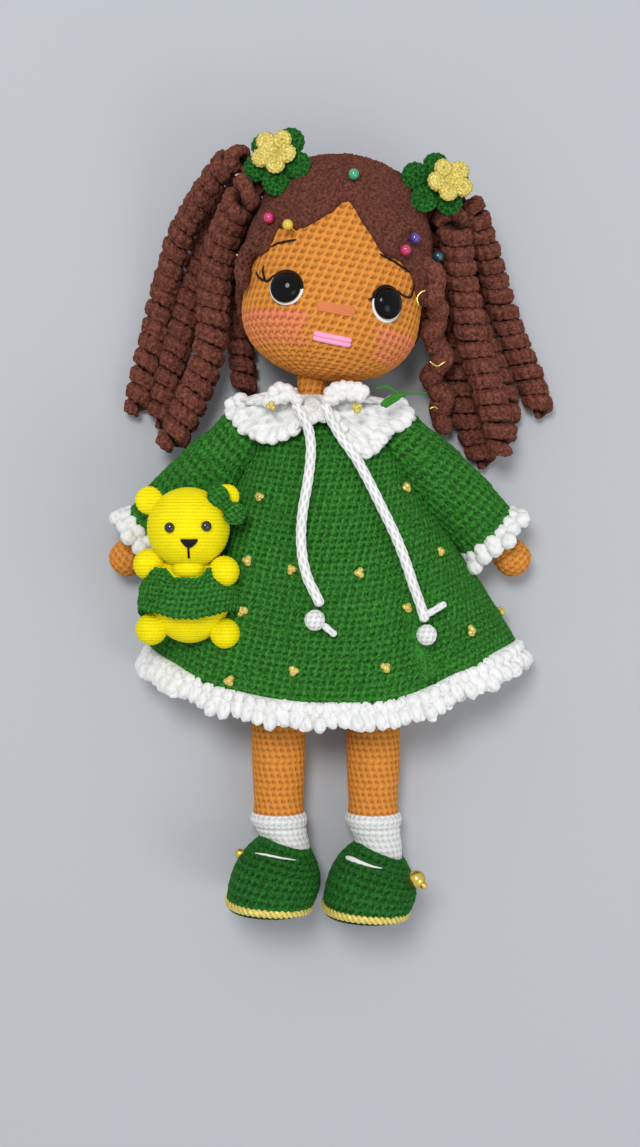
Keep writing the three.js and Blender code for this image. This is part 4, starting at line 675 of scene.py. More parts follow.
# The wig's edge over the face, in pixels of the photograph
HAIRLINE = np.array([
    [230, 300], [242.7, 294.6], [247.8, 279.3], [252.2, 265.3], [254.1, 258.9], [266.9, 252.5], [273.3, 241],
    [274.5, 232.1], [279.6, 227], [286, 228.3], [292.4, 230.8], [306.4, 227], [324.3, 216.8], [335.8, 209.1],
    [342.1, 202.1], [346, 200.2], [350.4, 202.8], [356.2, 211.7], [363.8, 225.7], [370.2, 233.4], [379.1, 250],
    [384.2, 255], [400.8, 261.4], [405.9, 269], [411.7, 275.5], [412.9, 284.4], [418.7, 304.8], [430, 310],
])
WIG_NAPE_SHARE, WIG_BACK_EDGE_SHARE, WIG_EAR_SHARE, WIG_FRONT_DEPTH = 0.1, 0.75, 0.44, 4
# Middle of the tendril at the right temple, in the head's own frame
TENDRIL = [
    (-29.5, 50, 20), (-31.6, 46.2, 16.3), (-34.5, 41.8, 11.2), (-35.5, 37.2, 9.1), (-34.9, 32, 11.1),
    (-33.9, 27.5, 13.7),
]


def to_world(points):
    return points @ HEAD_MATRIX.T + HEAD_PLACE


def to_head(points):
    return (points - HEAD_PLACE) @ HEAD_MATRIX


def upright(y, offset):
    """Half height of the head above or below its widest ring, and the power of its curve there."""
    above = HEAD_HEIGHT * (1 - HEAD_WIDEST_SHARE)
    below = HEAD_HEIGHT * HEAD_WIDEST_SHARE - CHIN_SHORTER
    return np.where(y > 0, above, below) + offset, np.where(y > 0, CROWN_POWER, CHIN_POWER)


def head_point(azimuth, elevation, offset=0.0):
    """Point of the head in a direction from its widest ring: the reach where the flat share and the upright share of
    the direction, each to the crown's or the chin's power, add up to one."""
    x, y, z = np.sin(azimuth) * np.cos(elevation), np.sin(elevation), np.cos(azimuth) * np.cos(elevation)
    y = y * np.ones_like(x)
    up, p = upright(y, offset)
    flat = np.hypot(x / (HEAD_WIDTH / 2 + offset), z / (HEAD_DEPTH / 2 + offset))
    reach = (flat**p + (np.abs(y) / up) ** p) ** (-1 / p)
    return np.stack([x * reach, y * reach + HEAD_HEIGHT * HEAD_WIDEST_SHARE, z * reach], axis=-1)


def head_inside(points, offset=0.0):
    """Below one inside the head, one on its skin."""
    local = to_head(points)
    y = local[..., 1] - HEAD_HEIGHT * HEAD_WIDEST_SHARE
    up, p = upright(y, offset)
    flat = np.hypot(local[..., 0] / (HEAD_WIDTH / 2 + offset), local[..., 2] / (HEAD_DEPTH / 2 + offset))
    return flat**p + (np.abs(y) / up) ** p


def ray(pixels):
    """Direction below the camera of each pixel of the photograph, with a fall of one."""
    p = np.array(pixels, float)
    x, y = (p[..., 0] - MIDDLE_X) / FOCAL_PIXELS, (MIDDLE_Y - p[..., 1]) / FOCAL_PIXELS
    return np.stack([x, y, -np.ones_like(x)], axis=-1)


def at_height(pixels, height):
    """Points at a height on the camera's rays through pixels of the photograph."""
    return ray(pixels) * (CAMERA_HEIGHT - np.asarray(height, float))[..., None] + [0, 0, CAMERA_HEIGHT]


def on_head(pixels, offset=0.0):
    """Where the camera's rays first meet the head, found by halving the stretch between above it and inside it."""
    way = ray(pixels)
    eye = np.array([0, 0, CAMERA_HEIGHT])
    low, high = np.full(way.shape[:-1], CAMERA_HEIGHT - 80.0), np.full(way.shape[:-1], CAMERA_HEIGHT - 30.0)
    for _ in range(30):
        middle = (low + high) / 2
        is_in = head_inside(eye + way * middle[..., None], offset) < 1
        low, high = np.where(is_in, low, middle), np.where(is_in, middle, high)
    return eye + way * high[..., None]


def head_out(points):
    """Outward directions on the head, from small steps along each axis."""
    step = 0.05
    return unit(np.stack([head_inside(points + v) - head_inside(points - v) for v in step * np.eye(3)], axis=-1))


def radians(*degrees):
    return [math.radians(d) for d in degrees]


def facing(outward):
    """Matrix whose columns are a side, a rise and the outward direction, turned the short way from z."""
    outward = unit(outward)
    axis, c = np.cross(UP, outward), float(outward[2])
    k = np.array([[0, -axis[2], axis[1]], [axis[2], 0, -axis[0]], [-axis[1], axis[0], 0]])
    return np.eye(3) + k + k @ k / (1 + c)


def head_normal(azimuth, elevation, offset):
    """Outward direction in the head's frame, from three points close together."""
    point = head_point(azimuth, elevation, offset)
    aside = head_point(azimuth + 0.01, elevation, offset) - point
    above = head_point(azimuth, elevation + 0.01, offset) - point
    return unit(np.cross(aside, above))


# Far edge, top and bottom of each cheek's coral rows in pixels of the photograph, and the way to its middle
CHEEKS = [(316, 312, 347, 1), (371, 325, 359, -1)]


class DOLL_OT_head(bpy.types.Operator):
    """Head worked in rounds from the chin, with coral rows on the cheeks"""

    bl_idname = "doll.head"
    bl_label = "Head"

    def execute(self, context):
        stitch = stitch_of("head")
        step = lambda a: np.where(np.abs(a) < math.radians(108), 0.43, 1.7)
        rows = spread(lambda v: to_world(head_point(0 * v, v)), -QUARTER + 0.03, QUARTER - 0.03, 0.45)
        columns = spread(lambda a: to_world(head_point(a, 0 * a)), -math.pi, math.pi, step)[:-1]
        made = worked(to_world(head_point(columns, rows[:, None])), stitch, 1.0)
        local = to_head(made["points"])
        row = np.floor(local[:, 1] / stitch[1] + 0.5)
        blush = np.zeros(len(local))
        for far, low, high, way in CHEEKS:
            edge, top, bottom = to_head(on_head([(far, (low + high) / 2), (far, low), (far, high)]))
            share = (edge[0] - way * 5 * (chance(row, way) - 0.35) - local[:, 0]) * way / 5
            level = eased((top[1] - local[:, 1]) / 2 + 0.5) * eased((local[:, 1] - bottom[1]) / 2 + 0.5)
            blush = np.maximum(blush, eased(share) * level * (local[:, 2] > 0))
        made["facts"]["blush"] = blush * (0.55 + 0.45 * chance(row, 5))
        put("head_skin", made, skin_yarn(), "head", "head")
        return {"FINISHED"}


def seen_at(points):
    """Pixel of the photograph at which the camera sees each point."""
    fall = CAMERA_HEIGHT - points[..., 2]
    return MIDDLE_X + FOCAL_PIXELS * points[..., 0] / fall, MIDDLE_Y - FOCAL_PIXELS * points[..., 1] / fall


def wig_edge(azimuth):
    """Lowest elevation of the wig at each azimuth: the first one at which its inner side is seen above the hairline in
    front, or its outer side is above the slanting line from ear to nape behind."""
    rise = np.linspace(-QUARTER + 0.02, QUARTER - 0.02, 700)
    p = head_point(azimuth[:, None], rise[None, :], WIG_REACH)
    x, y = seen_at(to_world(head_point(azimuth[:, None], rise[None, :], GAP)))
    back_z = -WIG_BACK_EDGE_SHARE * HEAD_DEPTH / 2
    share = (p[..., 2] - back_z) / (WIG_FRONT_DEPTH - back_z)
    behind = mix(WIG_NAPE_SHARE, WIG_EAR_SHARE, np.clip(share, 0, 1)) * HEAD_HEIGHT
    hairline = np.interp(x, HAIRLINE[:, 0], HAIRLINE[:, 1])
    is_above = np.where(p[..., 2] > WIG_FRONT_DEPTH, y < hairline, p[..., 1] > behind)
    return rise[np.argmax(is_above, axis=1)]


def column(*parts):
    """Values for the rows of a surface, joined end to end and set upright against its columns."""
    return np.concatenate(parts)[:, None]


class DOLL_OT_wig(bpy.types.Operator):
    """Wig cap with its pointed hairline, and the tendril at the right temple"""

    bl_idname = "doll.wig"
    bl_label = "Wig cap"

    def execute(self, context):
        width, rise = stitch_of("hair")
        step = lambda a: np.where(np.abs(a) < math.radians(95), 0.6, 1.2)
        columns = spread(lambda a: head_point(a, np.full_like(a, 0.5), WIG_REACH), -math.pi, math.pi, step)[:-1]
        low = wig_edge(columns)
        low = np.convolve(np.concatenate([low[-2:], low, low[:2]]), np.ones(5) / 5, "valid")
        roll = np.linspace(0, math.pi, 9)
        inner, outer = np.linspace(1, 0, 20)[:-1], np.linspace(0, 1, 190)[1:] * 0.995
        share, bend = column(inner * 0.99, 0 * roll, outer), column(0 * inner, np.sin(roll), 0 * outer)
        edge = (GAP + WIG_REACH) / 2 - (WIG_REACH - GAP) / 2 * np.cos(roll)
        offset = column(GAP + 0 * inner, edge, WIG_REACH + 0 * outer)
        is_outer = column(0 * inner, roll / math.pi, 1 + 0 * outer)
        up = mix(low - 0.012 * bend, QUARTER, share)
        grid = to_world(head_point(columns, up, offset - 1.5 * eased((up - 1.0) / 0.4) * is_outer))
        fluff = (0.42 * cloud(grid, 1.7, 3) + 0.3 * cloud(grid, 7, 4)) * is_outer
        cap = above_table(worked(grid, (width * 0.8, rise), 0.55, cover=is_outer, extra=fluff), 0.0)
        # the cap's gaps get only half the painted shade
        cap["facts"]["relief"] = np.clip(0.5 + 0.5 * cap["facts"]["relief"], 0, 1)

        path = to_world(through(TENDRIL, 90))
        swell = np.interp(np.linspace(0, 1, 90), [0, 0.3, 0.7, 0.9, 1], [2.6, 3.2, 3.1, 2.2, 0.9])
        tendril = worked_cord(path, swell, (2.6, 2.6), 0.4, sides=30, seed=5)
        tendril["points"] += 0.3 * cloud(tendril["points"], 2.0, 6)[:, None]
        put("wig_cap_yarn", [cap, tendril], hair_yarn(0.78), "head", "wig_cap")
        return {"FINISHED"}


# Eyes, embroidery and pins

EYE_DOME, EYE_RIM, WHITE_THICKNESS = 3.6, 0.8, 0.8
# Azimuth of each eye in degrees, its elevation, how far it stands out, its own turn in degrees, its radius and its
# felt disc's, and how far across and up that disc sits
EYE_PLACES = {
    -1: (-35.4, 0.085, 0.1, 13.5, 5.65, 6.35, 0.15, 0.1),
    1: (34.2, 0.096, -1.0, 0, 5.85, 6.5, 0.4, -0.4),
}
# First and last angle of the thread round each eye's upper edge, in degrees
LIDS = {-1: (0, 150), 1: (30, 175)}


def eye_frame(side):
    """Turn and place of an eye on the head: its axis is level in the head's frame, with the eye's own turn."""
    azimuth, elevation, out, turn = EYE_PLACES[side][:4]
    azimuth = math.radians(azimuth)
    outward = unit(head_normal(azimuth, elevation, 0) * [1, 0, 1])
    place = head_point(azimuth, elevation) + out * outward
    return HEAD_MATRIX @ facing(turn_about(1, math.radians(turn)) @ outward), to_world(place)


def turned(profile, matrix, place, sides):
    """Profile of radius and height turned about the frame's own z axis."""
    profile = np.array(profile, float)[:, None]
    ring = spoke(even_angles(sides), *np.eye(3)[:2])
    return skin((profile[..., :1] * ring + profile[..., 1:] * [0, 0, 1]) @ matrix.T + place, relief=1.0)


def refinish(name, material):
    """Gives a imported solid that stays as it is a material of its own."""
    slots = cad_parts[name].data.materials
    slots.clear()
    slots.append(material)


class DOLL_OT_eyes(bpy.types.Operator):
    """Domed safety eyes, their felt discs, and finishes for their washers and the neck rod"""

    bl_idname = "doll.eyes"
    bl_label = "Eyes"

    def execute(self, context):
        base, half = WHITE_THICKNESS + 2 * GAP, WHITE_THICKNESS / 2
        middle = GAP + 0.25 + half
        angle, edge = np.linspace(0, QUARTER - 0.03, 22), np.linspace(-QUARTER, QUARTER, 9)
        felt = yarn("eye_white_felt", linear("#F0EFEC"), 0.4, 0.9, 1.02, 0.4, 0.4)
        lids = []
        for name, side in SIDES.items():
            matrix, place = eye_frame(side)
            radius, white, across, up = EYE_PLACES[side][4:]
            rim = [[0.05, base], [radius - 0.4, base], [radius - 0.1, base + 0.25]]
            dome = np.stack([radius * np.cos(angle) ** 0.92, base + EYE_RIM + EYE_DOME * np.sin(angle)], axis=1)
            made = turned(np.vstack([rim, dome]), matrix, place, 64)
            put(f"eye_dome_{name}", made, eye_shell(), "head", f"eye_{name}")
            wall = np.stack([white - half + half * np.cos(edge), middle + half * np.sin(edge)], axis=1)
            disc = np.vstack([[0.1, middle - half], wall, [0.1, middle + half]])
            made = turned(disc, matrix, place + matrix @ [across, up, 0.2], 64)
            put(f"eye_felt_{name}", made, felt, "head", f"eye_white_{name}")
            lid = (radius + 0.2) * spoke(np.radians(np.linspace(*LIDS[side], 50)), *np.eye(3)[:2]) + [0, 0, 1.6]
            lids.append(tube(lid @ matrix.T + place, 0.75))
            refinish(f"eye_washer_{name}", gloss("washer_white_nylon", linear("#E4E4DF"), 0.45))
        put("eyelid_threads", lids, black_thread(), "head")
        refinish("neck_rod", steel())
        return {"FINISHED"}


# Threads laid on the head: the way of each in pixels of the photograph, its radius and its height over the head
THREADS = {
    "brow_threads": [
        ([(270.5, 247), (276, 244), (283, 242), (296.5, 239.5)], 0.42, 0.6),
        ([(379.5, 253.8), (387, 257.5), (395, 262), (410.4, 272.5)], 0.42, 0.6),
    ],
    "lash_threads": [
        ([(273.8, 275), (268.1, 280.6), (264, 280.2), (258.3, 276.6), (255.9, 271.7)], 0.42, 0.8),
        ([(265.6, 280.2), (263.4, 275), (262.7, 270), (264, 265.5)], 0.38, 0.7),
        ([(397.4, 290.4), (403, 295.3), (410.4, 297.2), (412.8, 292), (414, 284.7)], 0.42, 0.8),
        ([(368, 299.3), (375.4, 297.7)], 0.36, 0.6),
    ],
}


def thread_on_head(pixels, radius, offset):
    """Thread laid on the head through pixels of the photograph, half as thick at its ends."""
    path = on_head(through(pixels, 40), offset)
    return tube(path, radius * mix(0.5, 1, np.sin(math.pi * np.linspace(0, 1, 40)) ** 0.5), 8)


def satin(ends, strands, height, radius, lift):
    """Satin stitch: strands side by side from end to end of a bar, highest at the middle of the bar."""
    start, end = np.array(ends)
    way = end - start
    aside = np.array([-way[1], way[0]]) / np.hypot(*way)
    made = []
    for number in range(strands):
        off = (number - (strands - 1) / 2) / max(1, strands - 1)
        short = 0.05 * (2 * abs(off)) ** 2 + 0.03 * float(chance(number, strands))
        share = np.linspace(short, 1 - short * 0.8, 36)[:, None]
        path = on_head(start + share * way + aside * off * height)
        bulge = lift * np.sin(math.pi * np.linspace(0.04, 0.96, 36)) ** 0.4 * (1 - 0.5 * (2 * off) ** 2)
        made.append(tube(path + head_out(path) * bulge[:, None], radius))
    return made


class DOLL_OT_embroidery(bpy.types.Operator):
    """Brows, lashes, nose and mouth in thread on the head"""

    bl_idname = "doll.embroidery"
    bl_label = "Embroidery"

    def execute(self, context):
        colours = settings()[1]
        for name, lines in THREADS.items():
            put(name, [thread_on_head(*line) for line in lines], black_thread(), "head")
        nose = satin([(315.5, 305.0), (355.6, 312.6)], 5, 7.4, 0.52, 0.45)
        put("nose_threads", nose, plain_thread("thread_rose_cotton", colours.nose), "head")
        mouth = satin([(311.0, 334.4), (353.2, 343.0)], 2, 4.2, 1.1, 0.75)
        put("mouth_threads", mouth, plain_thread("thread_pink_cotton", colours.mouth), "head")
        return {"FINISHED"}


# Azimuth and elevation in degrees and colour of each pearl headed pin
PINS = {
    "pin_green": (-1.6, 59.5, "#2F9A6C"),
    "pin_pink_right": (-52.4, 38.8, "#C2155F"),
    "pin_yellow": (-37, 36, "#D8B62C"),
    "pin_pink_left": (37, 33.5, "#C2155F"),
    "pin_purple": (44, 39.7, "#47318A"),
    "pin_teal": (76, 37, "#1D4A52"),
}
PIN_RADIUS, PIN_SHAFT_RADIUS, PIN_SHAFT_LENGTH = 2, 0.45, 13
# Way of each gold wire in pixels of the photograph, and its height
WIRES = {
    "wire_pins": [([(236, 254), (240, 257), (244, 258)], 44), ([(426, 290), (420, 293), (417, 299), (419, 306)], 53)],
    "wire_pins_low": [([(429, 361), (437, 366), (446, 361)], 34), ([(429, 409), (434, 407), (438, 409)], 22)],
}


class DOLL_OT_pins(bpy.types.Operator):
    """Pearl headed pins and the small gold wire pins that hold the hair"""

    bl_idname = "doll.pins"
    bl_label = "Pins"

    def execute(self, context):
        angle = np.linspace(-QUARTER + 0.25, QUARTER - 0.04, 16)
        profile = np.vstack([
            [[0.02, -PIN_SHAFT_LENGTH], [PIN_SHAFT_RADIUS, -PIN_SHAFT_LENGTH + 1.5], [PIN_SHAFT_RADIUS, GAP]],
            np.stack([PIN_RADIUS * np.cos(angle), GAP + PIN_RADIUS * (1 + np.sin(angle))], axis=1),
        ])
        for name, (azimuth, elevation, colour) in PINS.items():
            where = *radians(azimuth, elevation), WIG_REACH
            made = turned(profile, HEAD_MATRIX @ facing(head_normal(*where)), to_world(head_point(*where)), 24)
            pearl = gloss(f"{name}_pearl", linear(colour), 0.22, coat=0.8)
            put(f"{name}_head", made, pearl, "head", name)
        for name, wires in WIRES.items():
            made = [tube(through(at_height(line, height), 16), 0.32, 8) for line, height in wires]
            put(name, made, bead_gold(), "head")
        return {"FINISHED"}


# Bunches, curls and flowers

HUB_RADIUS = 7.5
LOCK_REACH = 100
LOCK_REST_Z = 6.0
# Thickness over all of each curl in mm, then across and along from the base as shares of the reach, and its height
# as a share from the table's level to the base's
LOCKS = {
    "lock_right_1": (10.8, [
        [-0.1, 0.05, 1.02], [-0.19, 0, 0.86], [-0.27, -0.09, 0.6], [-0.335, -0.185, 0.37], [-0.39, -0.32, 0.13],
        [-0.428, -0.44, 0.02], [-0.467, -0.6, 0], [-0.505, -0.75, 0], [-0.53, -0.88, 0],
    ]),
    "lock_right_2": (11.2, [
        [-0.09, -0.02, 0.62], [-0.205, -0.13, 0.16], [-0.268, -0.263, 0], [-0.308, -0.406, 0], [-0.345, -0.542, 0],
        [-0.378, -0.661, 0], [-0.415, -0.8, 0], [-0.43, -0.93, 0],
    ]),
    "lock_right_3": (13.0, [
        [-0.06, -0.075, 1.21], [-0.135, -0.18, 0.95], [-0.178, -0.29, 0.73], [-0.2, -0.43, 0.58],
        [-0.212, -0.586, 0.5], [-0.245, -0.712, 0.45], [-0.296, -0.835, 0.41], [-0.35, -0.95, 0.37],
        [-0.395, -1.03, 0.34],
    ]),
    "lock_right_4": (10.6, [
        [-0.07, -0.11, 0.78], [-0.13, -0.21, 0.45], [-0.16, -0.33, 0.14], [-0.142, -0.47, 0], [-0.108, -0.62, 0],
        [-0.09, -0.81, 0],
    ]),
    "lock_left_1": (11.4, [
        [0.1, -0.008, 0.98], [0.19, -0.11, 0.64], [0.226, -0.19, 0.44], [0.263, -0.29, 0.24], [0.304, -0.401, 0.09],
        [0.358, -0.526, 0], [0.408, -0.645, 0], [0.452, -0.79, 0],
    ]),
    "lock_left_2": (12.6, [
        [0.046, -0.068, 1.15], [0.098, -0.218, 0.925], [0.117, -0.309, 0.77], [0.137, -0.408, 0.67],
        [0.163, -0.521, 0.6], [0.197, -0.617, 0.56], [0.228, -0.718, 0.54], [0.262, -0.84, 0.52],
        [0.288, -0.955, 0.46],
    ]),
    "lock_left_3": (11.4, [
        [0, -0.11, 0.56], [0.03, -0.21, 0.2], [0.055, -0.33, 0.03], [0.085, -0.5, 0], [0.128, -0.69, 0],
        [0.168, -0.84, 0], [0.23, -0.99, 0],
    ]),
    "lock_left_4": (11.2, [
        [0.12, -0.05, 0.5], [0.165, -0.15, 0.2], [0.172, -0.29, 0.03], [0.2, -0.43, 0], [0.252, -0.56, 0],
        [0.297, -0.69, 0], [0.312, -0.79, 0], [0.314, -0.87, 0],
    ]),
}
# Middle of the side curl in pixels of the photograph, and its height as a share from the table's level to its root's
SIDE_LOCK = [
    (418, 262, 1.02), (427.5, 268, 1.0), (436.2, 281, 0.94), (433, 294, 0.86), (437.3, 309, 0.74), (437.3, 322, 0.64),
    (430.8, 333, 0.55), (436.2, 344, 0.46), (443.8, 353.6, 0.4), (438.4, 365.5, 0.32), (430.8, 378.5, 0.24),
    (437.3, 389.4, 0.18), (446, 398, 0.14), (439.4, 410, 0.1), (441.6, 421.9, 0.07), (450.3, 432.7, 0.04),
]


def hub(side):
    """Middle of the base of a bunch."""
    return to_world(np.array([side * 32.5, 74, 2.0]))


def spring(route, thickness, pitch, stitch, seed):
    """Tight spring of a crocheted band: the section, a rounded oblong as wide as the pitch, winds about the route."""
    width, rise = stitch
    length = length_of(route)
    outer, inner = thickness / 2, 0.6
    count, sides, rows_around = round(length / pitch * TURN * outer * 0.8 / 0.55), 22, 6
    gone, at = np.linspace(0, length, count), np.linspace(0, length, len(route))
    centre, ahead, side, up = (
        np.stack([np.interp(gone, at, v[:, k]) for k in range(3)], axis=1) for v in (route, *frames_along(route))
    )
    radial = spoke(TURN * gone / pitch + 0.5 * wander(gone, 23, seed) + seed, side, up)
    near = np.minimum(gone, length - gone)
    grown = (eased(near / (pitch * 0.7)) * 0.85 + 0.15)[:, None]
    taper = 1 - 0.12 * eased((gone - length * 0.8) / (length * 0.2))
    closing = np.sqrt(np.clip(1 - np.clip(1 - near / 2.5, 0, 1) ** 2, 0.003, 1))[:, None]
    angle = even_angles(sides)
    bobble = gone * 0.8 * TURN * outer / pitch / 4.3 + 0.35 * cloud(centre, 6, seed + 5)
    swell = half_round(nearest(bobble) * 1.9)
    middle = (outer + inner) / 2 * taper * (1 + 0.05 * cloud(centre, 9, seed + 3)) + 0.75 * (swell - 0.75)
    reach = (middle[:, None] + power(np.cos(angle), 0.72) * (outer - inner) / 2) * grown * closing
    wide = power(np.sin(angle), 0.8) * pitch * 0.485 * (0.86 + 0.14 * swell)[:, None] * grown * closing
    grid = centre[:, None] + radial[:, None] * reach[..., None] + ahead[:, None] * wide[..., None]
    along = np.broadcast_to((gone / pitch * TURN * outer * 0.86)[:, None] / width, (count, sides))
    across = np.broadcast_to(angle / TURN * rows_around, (count, sides))
    relief = stitches(lambda number: (along, None), across, width, rise, seed, wrap=rows_around)
    rough = 0.75 * (relief - 0.5) + 0.3 * cloud(grid, 1.5, seed + 7) + 0.3 * cloud(grid, 3.4, seed + 8)
    # painted shade: the relief attribute is darkened on the band's inner side and the faces that press on the next
    # turns, and between the bobbles
    edge = eased(0.5 + 0.9 * np.cos(angle))
    dark = mix(0.3, 1.05, relief) * mix(0.5, 1.0, swell)[:, None] * mix(0.12, 1.1, edge)
    return above_table(skin(grid + normals_of(grid) * (rough * closing)[..., None], relief=np.clip(dark, 0, 1)))


class DOLL_OT_curls(bpy.types.Operator):
    """Bases of the bunches and their curled locks"""

    bl_idname = "doll.curls"
    bl_label = "Curls"

    def execute(self, context):
        stitch = (stitch_of("hair")[0],) * 2
        pitch = settings()[0].curl_pitch / MM
        for name, side in SIDES.items():
            ball = worked_egg(hub(side), [HUB_RADIUS] * 3, stitch, 0.9, seed=side + 3)
            put(f"bunch_base_{name}", ball, hair_yarn(), f"pigtail_{name}", f"bunch_{name}")
        for number, (name, (thickness, shares)) in enumerate(LOCKS.items()):
            side = name.split("_")[1]
            centre, shares = hub(SIDES[side]), np.array(shares)
            height = mix(LOCK_REST_Z, centre[2], shares[:, 2:])
            places = np.hstack([centre[:2] + shares[:, :2] * LOCK_REACH, height])
            way = unit(places[0] - centre)
            route = through([centre + way * (HUB_RADIUS - 2), centre + way * (HUB_RADIUS + 5.8), *places[1:]], 500)
            made = spring(route, thickness, pitch, stitch, number * 3 + 1)
            put(f"{name}_yarn", made, hair_yarn(), f"pigtail_{side}", name)
        return {"FINISHED"}


class DOLL_OT_side_curl(bpy.types.Operator):
    """Loose waved lock beside the left cheek"""

    bl_idname = "doll.side_curl"
    bl_label = "Side curl"

    def execute(self, context):
        root = to_world(head_point(*radians(66, 25), WIG_REACH))
        table = np.array(SIDE_LOCK)
        height = mix(LOCK_REST_Z, root[2], table[:, 2]) + 1.5 * np.cos(np.arange(len(table)) * 2.1)
        path = through(at_height(table[:, :2], height), 420)
        gone = np.linspace(0, length_of(path), len(path))
        swell = (3.95 + 0.45 * np.cos(TURN * gone / 8.5)) * np.interp(gone / gone[-1], [0, 0.9, 1], [1, 1, 0.8])
        made = worked_cord(path, swell, (stitch_of("hair")[0],) * 2, 0.8, sides=38, seed=9, flat=0.85)
        points, facts = made["points"], made["facts"]
        points += (0.3 * cloud(points, 1.6, 5) + 0.4 * cloud(points, 4, 6))[:, None] * unit(points - points.mean(0))
        # lighter painted shade in the curl's gaps, with random patches
        facts["relief"] = np.clip(0.35 + 0.65 * facts["relief"] + 0.2 * cloud(points, 3, 7), 0, 1)
        put("side_lock_yarn", above_table(made), hair_yarn(), "head", "side_lock_left")
        return {"FINISHED"}


# Middle of the flowers from the bunch's, then across and along from there and the spin of the petals
FLOWER_OFFSET = np.array([4.2, 4.4, 5.6])
FLOWERS = {
    ("gold", "right"): (0, -0.3, 1.0), ("leaf", "right"): (0.7, -2.4, 0.94),
    ("gold", "left"): (0.4, 0, 0.82), ("leaf", "left"): (-4.4, -0.4, 0.314),
}


def flower(middle, away, halves, spin, stitch, height, cup, lean):
    """Five petals round a middle, each a flat egg worked in rounds from its own centre, over a lower round heart."""
    made = []
    for number in range(5):
        turn = spin + number * TURN / 5
        flat = np.array([math.cos(turn), math.sin(turn)])
        rise = cup * (1 + 0.6 * float(chance(number, away))) + lean[0] * flat[0] + lean[1] * flat[1]
        way = unit(np.array([*flat, rise]))
        aside = np.array([-flat[1], flat[0], 0])
        above = np.cross(way, aside)
        luck = 1 + 0.1 * (float(chance(number, spin)) - 0.5)
        made.append(worked_egg(
            middle + way * away * luck, np.array(halves) * luck, stitch, height, 0.36, seed=number,
            axes=np.column_stack([way, above, aside]), dent=(0.7, 0.3 * halves[0], middle + way * away, above),
        ))
    heart = [away * 0.75, halves[1] * 0.7, away * 0.75]
    made.append(worked_egg(middle - [0, 0, 0.35 * halves[1]], heart, stitch, height, 0.35, axes=np.eye(3)[[0, 2, 1]]))
    return made


class DOLL_OT_flowers(bpy.types.Operator):
    """Green five lobed flowers under gold ones, over the bases of the bunches"""

    bl_idname = "doll.flowers"
    bl_label = "Flowers"

    def execute(self, context):
        for name, side in SIDES.items():
            for kind, material, level, away, halves, stitch, height, cup in (
                ("leaf", leaf_yarn(), 8.4, 8.3, (4.9, 1.9, 4.9), (2.3, 2.1), 1.0, -0.04),
                ("gold", gold_yarn(), 11.6, 5.2, (3.6, 1.8, 3.45), (1.7, 1.5), 0.75, 0.1),
            ):
                x, y, spin = FLOWERS[kind, name]
                middle = hub(side) + FLOWER_OFFSET + [x, y, level]
                made = flower(middle, away, halves, spin, stitch, height, cup, (-0.3 * side, -0.2))
                put(f"flower_{kind}_{name}_yarn", made, material, "head", f"flower_{kind}_{name}")
        return {"FINISHED"}


# Dress and body

DRESS_TOP_Y, DRESS_LENGTH, DRESS_HEM_WIDTH, DRESS_DEPTH, DRESS_SHIFT = 64, 115, 145, 50, 5
DRESS_WALL = 2.8
TORSO_TOP_Y, TORSO_LEVEL = 75.3, 23
NECK_X, NECK_RADIUS, NECK_LEVEL = -3.0, 6.6, 28
SIDE_RISE, EDGE_LEVEL, ARCH, EDGE_TURN = 0.19, 0.18, 2.2, 1.6
DRESS_TABLE = smooth_table([
    [0, 0.18, 0.78, 0.28], [0.05, 0.3, 0.84, 0.16], [0.11, 0.405, 0.88, 0.06], [0.16, 0.43, 0.92, 0.012],
    [0.3, 0.51, 0.96, 0.01], [0.505, 0.655, 1, 0.01], [0.634, 0.745, 0.98, 0.01], [0.86, 0.91, 0.94, 0.01],
    [1, 1, 0.9, 0.01],
])


def dress_point(along, angle, wall=0.0):
    """Dress surface: an arch over a flat back, whose half width, top and bottom follow a table of shares."""
    width, top, bottom = look_up(DRESS_TABLE, along)
    half = width * DRESS_HEM_WIDTH / 2 - wall
    top, bottom = top * DRESS_DEPTH - wall, bottom * DRESS_DEPTH + wall
    level = mix(bottom, top, EDGE_LEVEL)
    across, rise = power(np.cos(angle), 2 / ARCH), np.sin(angle)
    arch = mix(level, top, np.maximum(rise, 0) ** (2 / ARCH))
    height = np.where(rise >= 0, arch, mix(level, bottom, np.minimum(1, -rise * EDGE_TURN)))
    raised = 0.018 * np.exp(-((across / 0.45) ** 2)) + 0.036 * np.exp(-(((across - 0.78) / 0.28) ** 2))
    down = along * DRESS_LENGTH * (1 - SIDE_RISE * across**2 - raised * (rise > 0) * along)
    x = DRESS_SHIFT * along + half * across
    return np.stack(np.broadcast_arrays(x, DRESS_TOP_Y - down, height), axis=-1)


def dress_folds(along, angle):
    """Long soft folds of the skirt, deeper towards the hem, and one pleat beside the right drawstring."""
    front = eased(np.sin(angle) * 2)
    wave = np.cos(angle * 8 + 0.8) * 0.9 + np.cos(angle * 13 + 2.1) * 0.5
    across = np.cos(angle)
    pleat = np.exp(-(((across + 0.2 + 0.06 * along) / 0.035) ** 2)) * eased(along * 5) * eased(1.3 - along)
    return (wave * eased(along * 1.2) - 1.3 * pleat) * front


